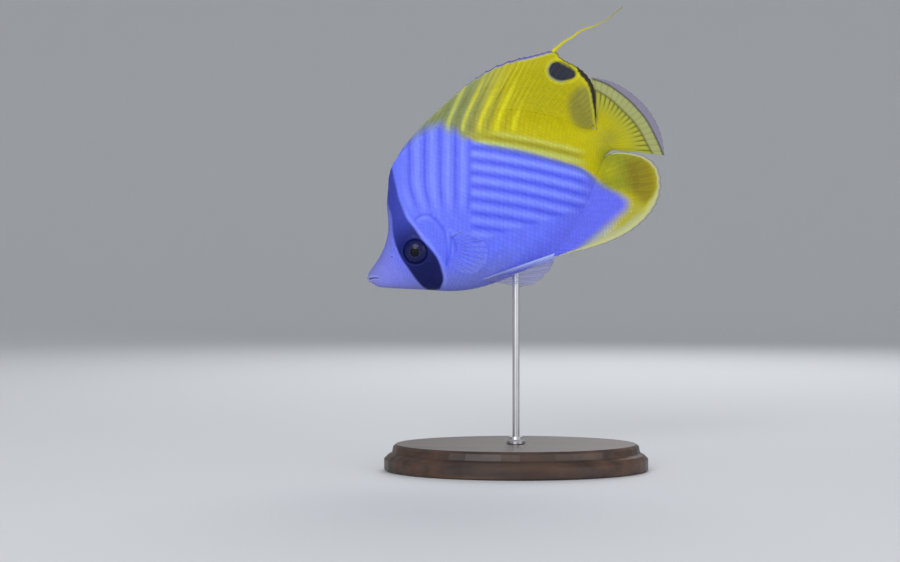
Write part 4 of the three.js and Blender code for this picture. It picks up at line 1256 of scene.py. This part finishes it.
scale_skin = tinted("fish_scales", SKIN_MOTTLE, SKIN_GRAIN, roughness=0.46, **SKIN_LOOK)
for side_flip in (-1, 1):
    body_scales(side_flip, scale_skin)
    side_name = "left" if side_flip < 0 else "right"
    for key, reach, bake_row in (("spiny", 0.55, 0.66), ("soft", 0.72, 0.75), ("anal", 0.7, 0.86)):
        fin_scales("scales_" + key + "_fin_" + side_name, key, side_flip, reach, bake_row, scale_skin)

# Stand

def finish_node(name, nodes):
    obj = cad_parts[name]
    for slot in obj.material_slots:
        slot.material = nodes.material


wood = Nodes("dark_wood", roughness=0.42, coat_weight=0.15, coat_roughness=0.22)
wood_noise = noise_node(wood, 1.0, 6.0, (12, 160, 160))
wood_ramp = wood.add("ShaderNodeValToRGB")
dark_end, pale_end = wood_ramp.color_ramp.elements
dark_end.position = 0.35
dark_end.color = (0.022, 0.010, 0.006, 1)
pale_end.position = 0.7
pale_end.color = (0.095, 0.045, 0.024, 1)
wood.link(wood_noise, "Fac", wood_ramp, "Fac")
wood.link(wood_ramp, "Color", wood.shader, "Base Color")
add_bump(wood, wood_noise, 0.0002, 0.25)
finish_node("stand_base", wood)

steel = Nodes("brushed_steel", base_color=(0.56, 0.56, 0.58, 1), metallic=1.0)
steel_noise = noise_node(steel, 1.0, 3.0, (4000, 4000, 60))
steel.link(spread(steel, steel_noise, 0.28, 0.5), "Result", steel.shader, "Roughness")
add_bump(steel, steel_noise, 0.00003, 0.3)
finish_node("stand_rod", steel)
finish_node("stand_collar", steel)

# Floor and light

def bowl():
    """A pale floor that curves up all round into a wall."""
    flat_to, curve, high, turns = 1.5, 1.8, 3.2, 96
    bend = np.linspace(0, math.pi / 2, 24)
    radius = np.concatenate([[0.02, 0.3, 0.6], flat_to + curve * np.sin(bend), [flat_to + curve]])
    height = np.concatenate([[0, 0, 0], curve * (1 - np.cos(bend)), [high]])
    turn = np.linspace(0, 2 * math.pi, turns, endpoint=False)
    points = np.stack([radius[:, None] * np.cos(turn), radius[:, None] * np.sin(turn),
                       height[:, None] * np.ones(turns)], axis=2)
    quads, middle, _ = ring_faces(len(radius), turns)
    return new_object("floor", points.reshape(-1, 3), quads, middle)


floor_look = Nodes("floor_paper", base_color=(0.7, 0.71, 0.73, 1), roughness=0.9, specular_ior_level=0.1)
floor = bowl()
floor.data.materials.append(floor_look.material)


def soft_light(name, at, aim, size, power):
    lamp = bpy.data.lights.new(name, "AREA")
    lamp.shape = "DISK"
    lamp.size = size
    lamp.energy = power
    obj = bpy.data.objects.new(name, lamp)
    obj.location = at
    obj.rotation_euler = (Vector(at) - Vector(aim)).to_track_quat("Z", "Y").to_euler()
    bpy.context.scene.collection.objects.link(obj)


fish_middle = (0, 0, 0.12)
soft_light("key", (-0.45, -1.3, 0.62), fish_middle, 0.9, 12)
soft_light("fill", (0.9, -0.9, 0.3), fish_middle, 1.0, 4.2)
soft_light("back", (0.2, 0.9, 0.8), fish_middle, 0.8, 5)
world = bpy.data.worlds.new("room")
bpy.context.scene.world = world
world.use_nodes = True
background = world.node_tree.nodes["Background"]
background.inputs["Color"].default_value = (0.9, 0.92, 0.95, 1)
background.inputs["Strength"].default_value = 0.55
bpy.context.scene.view_settings.view_transform = "Standard"
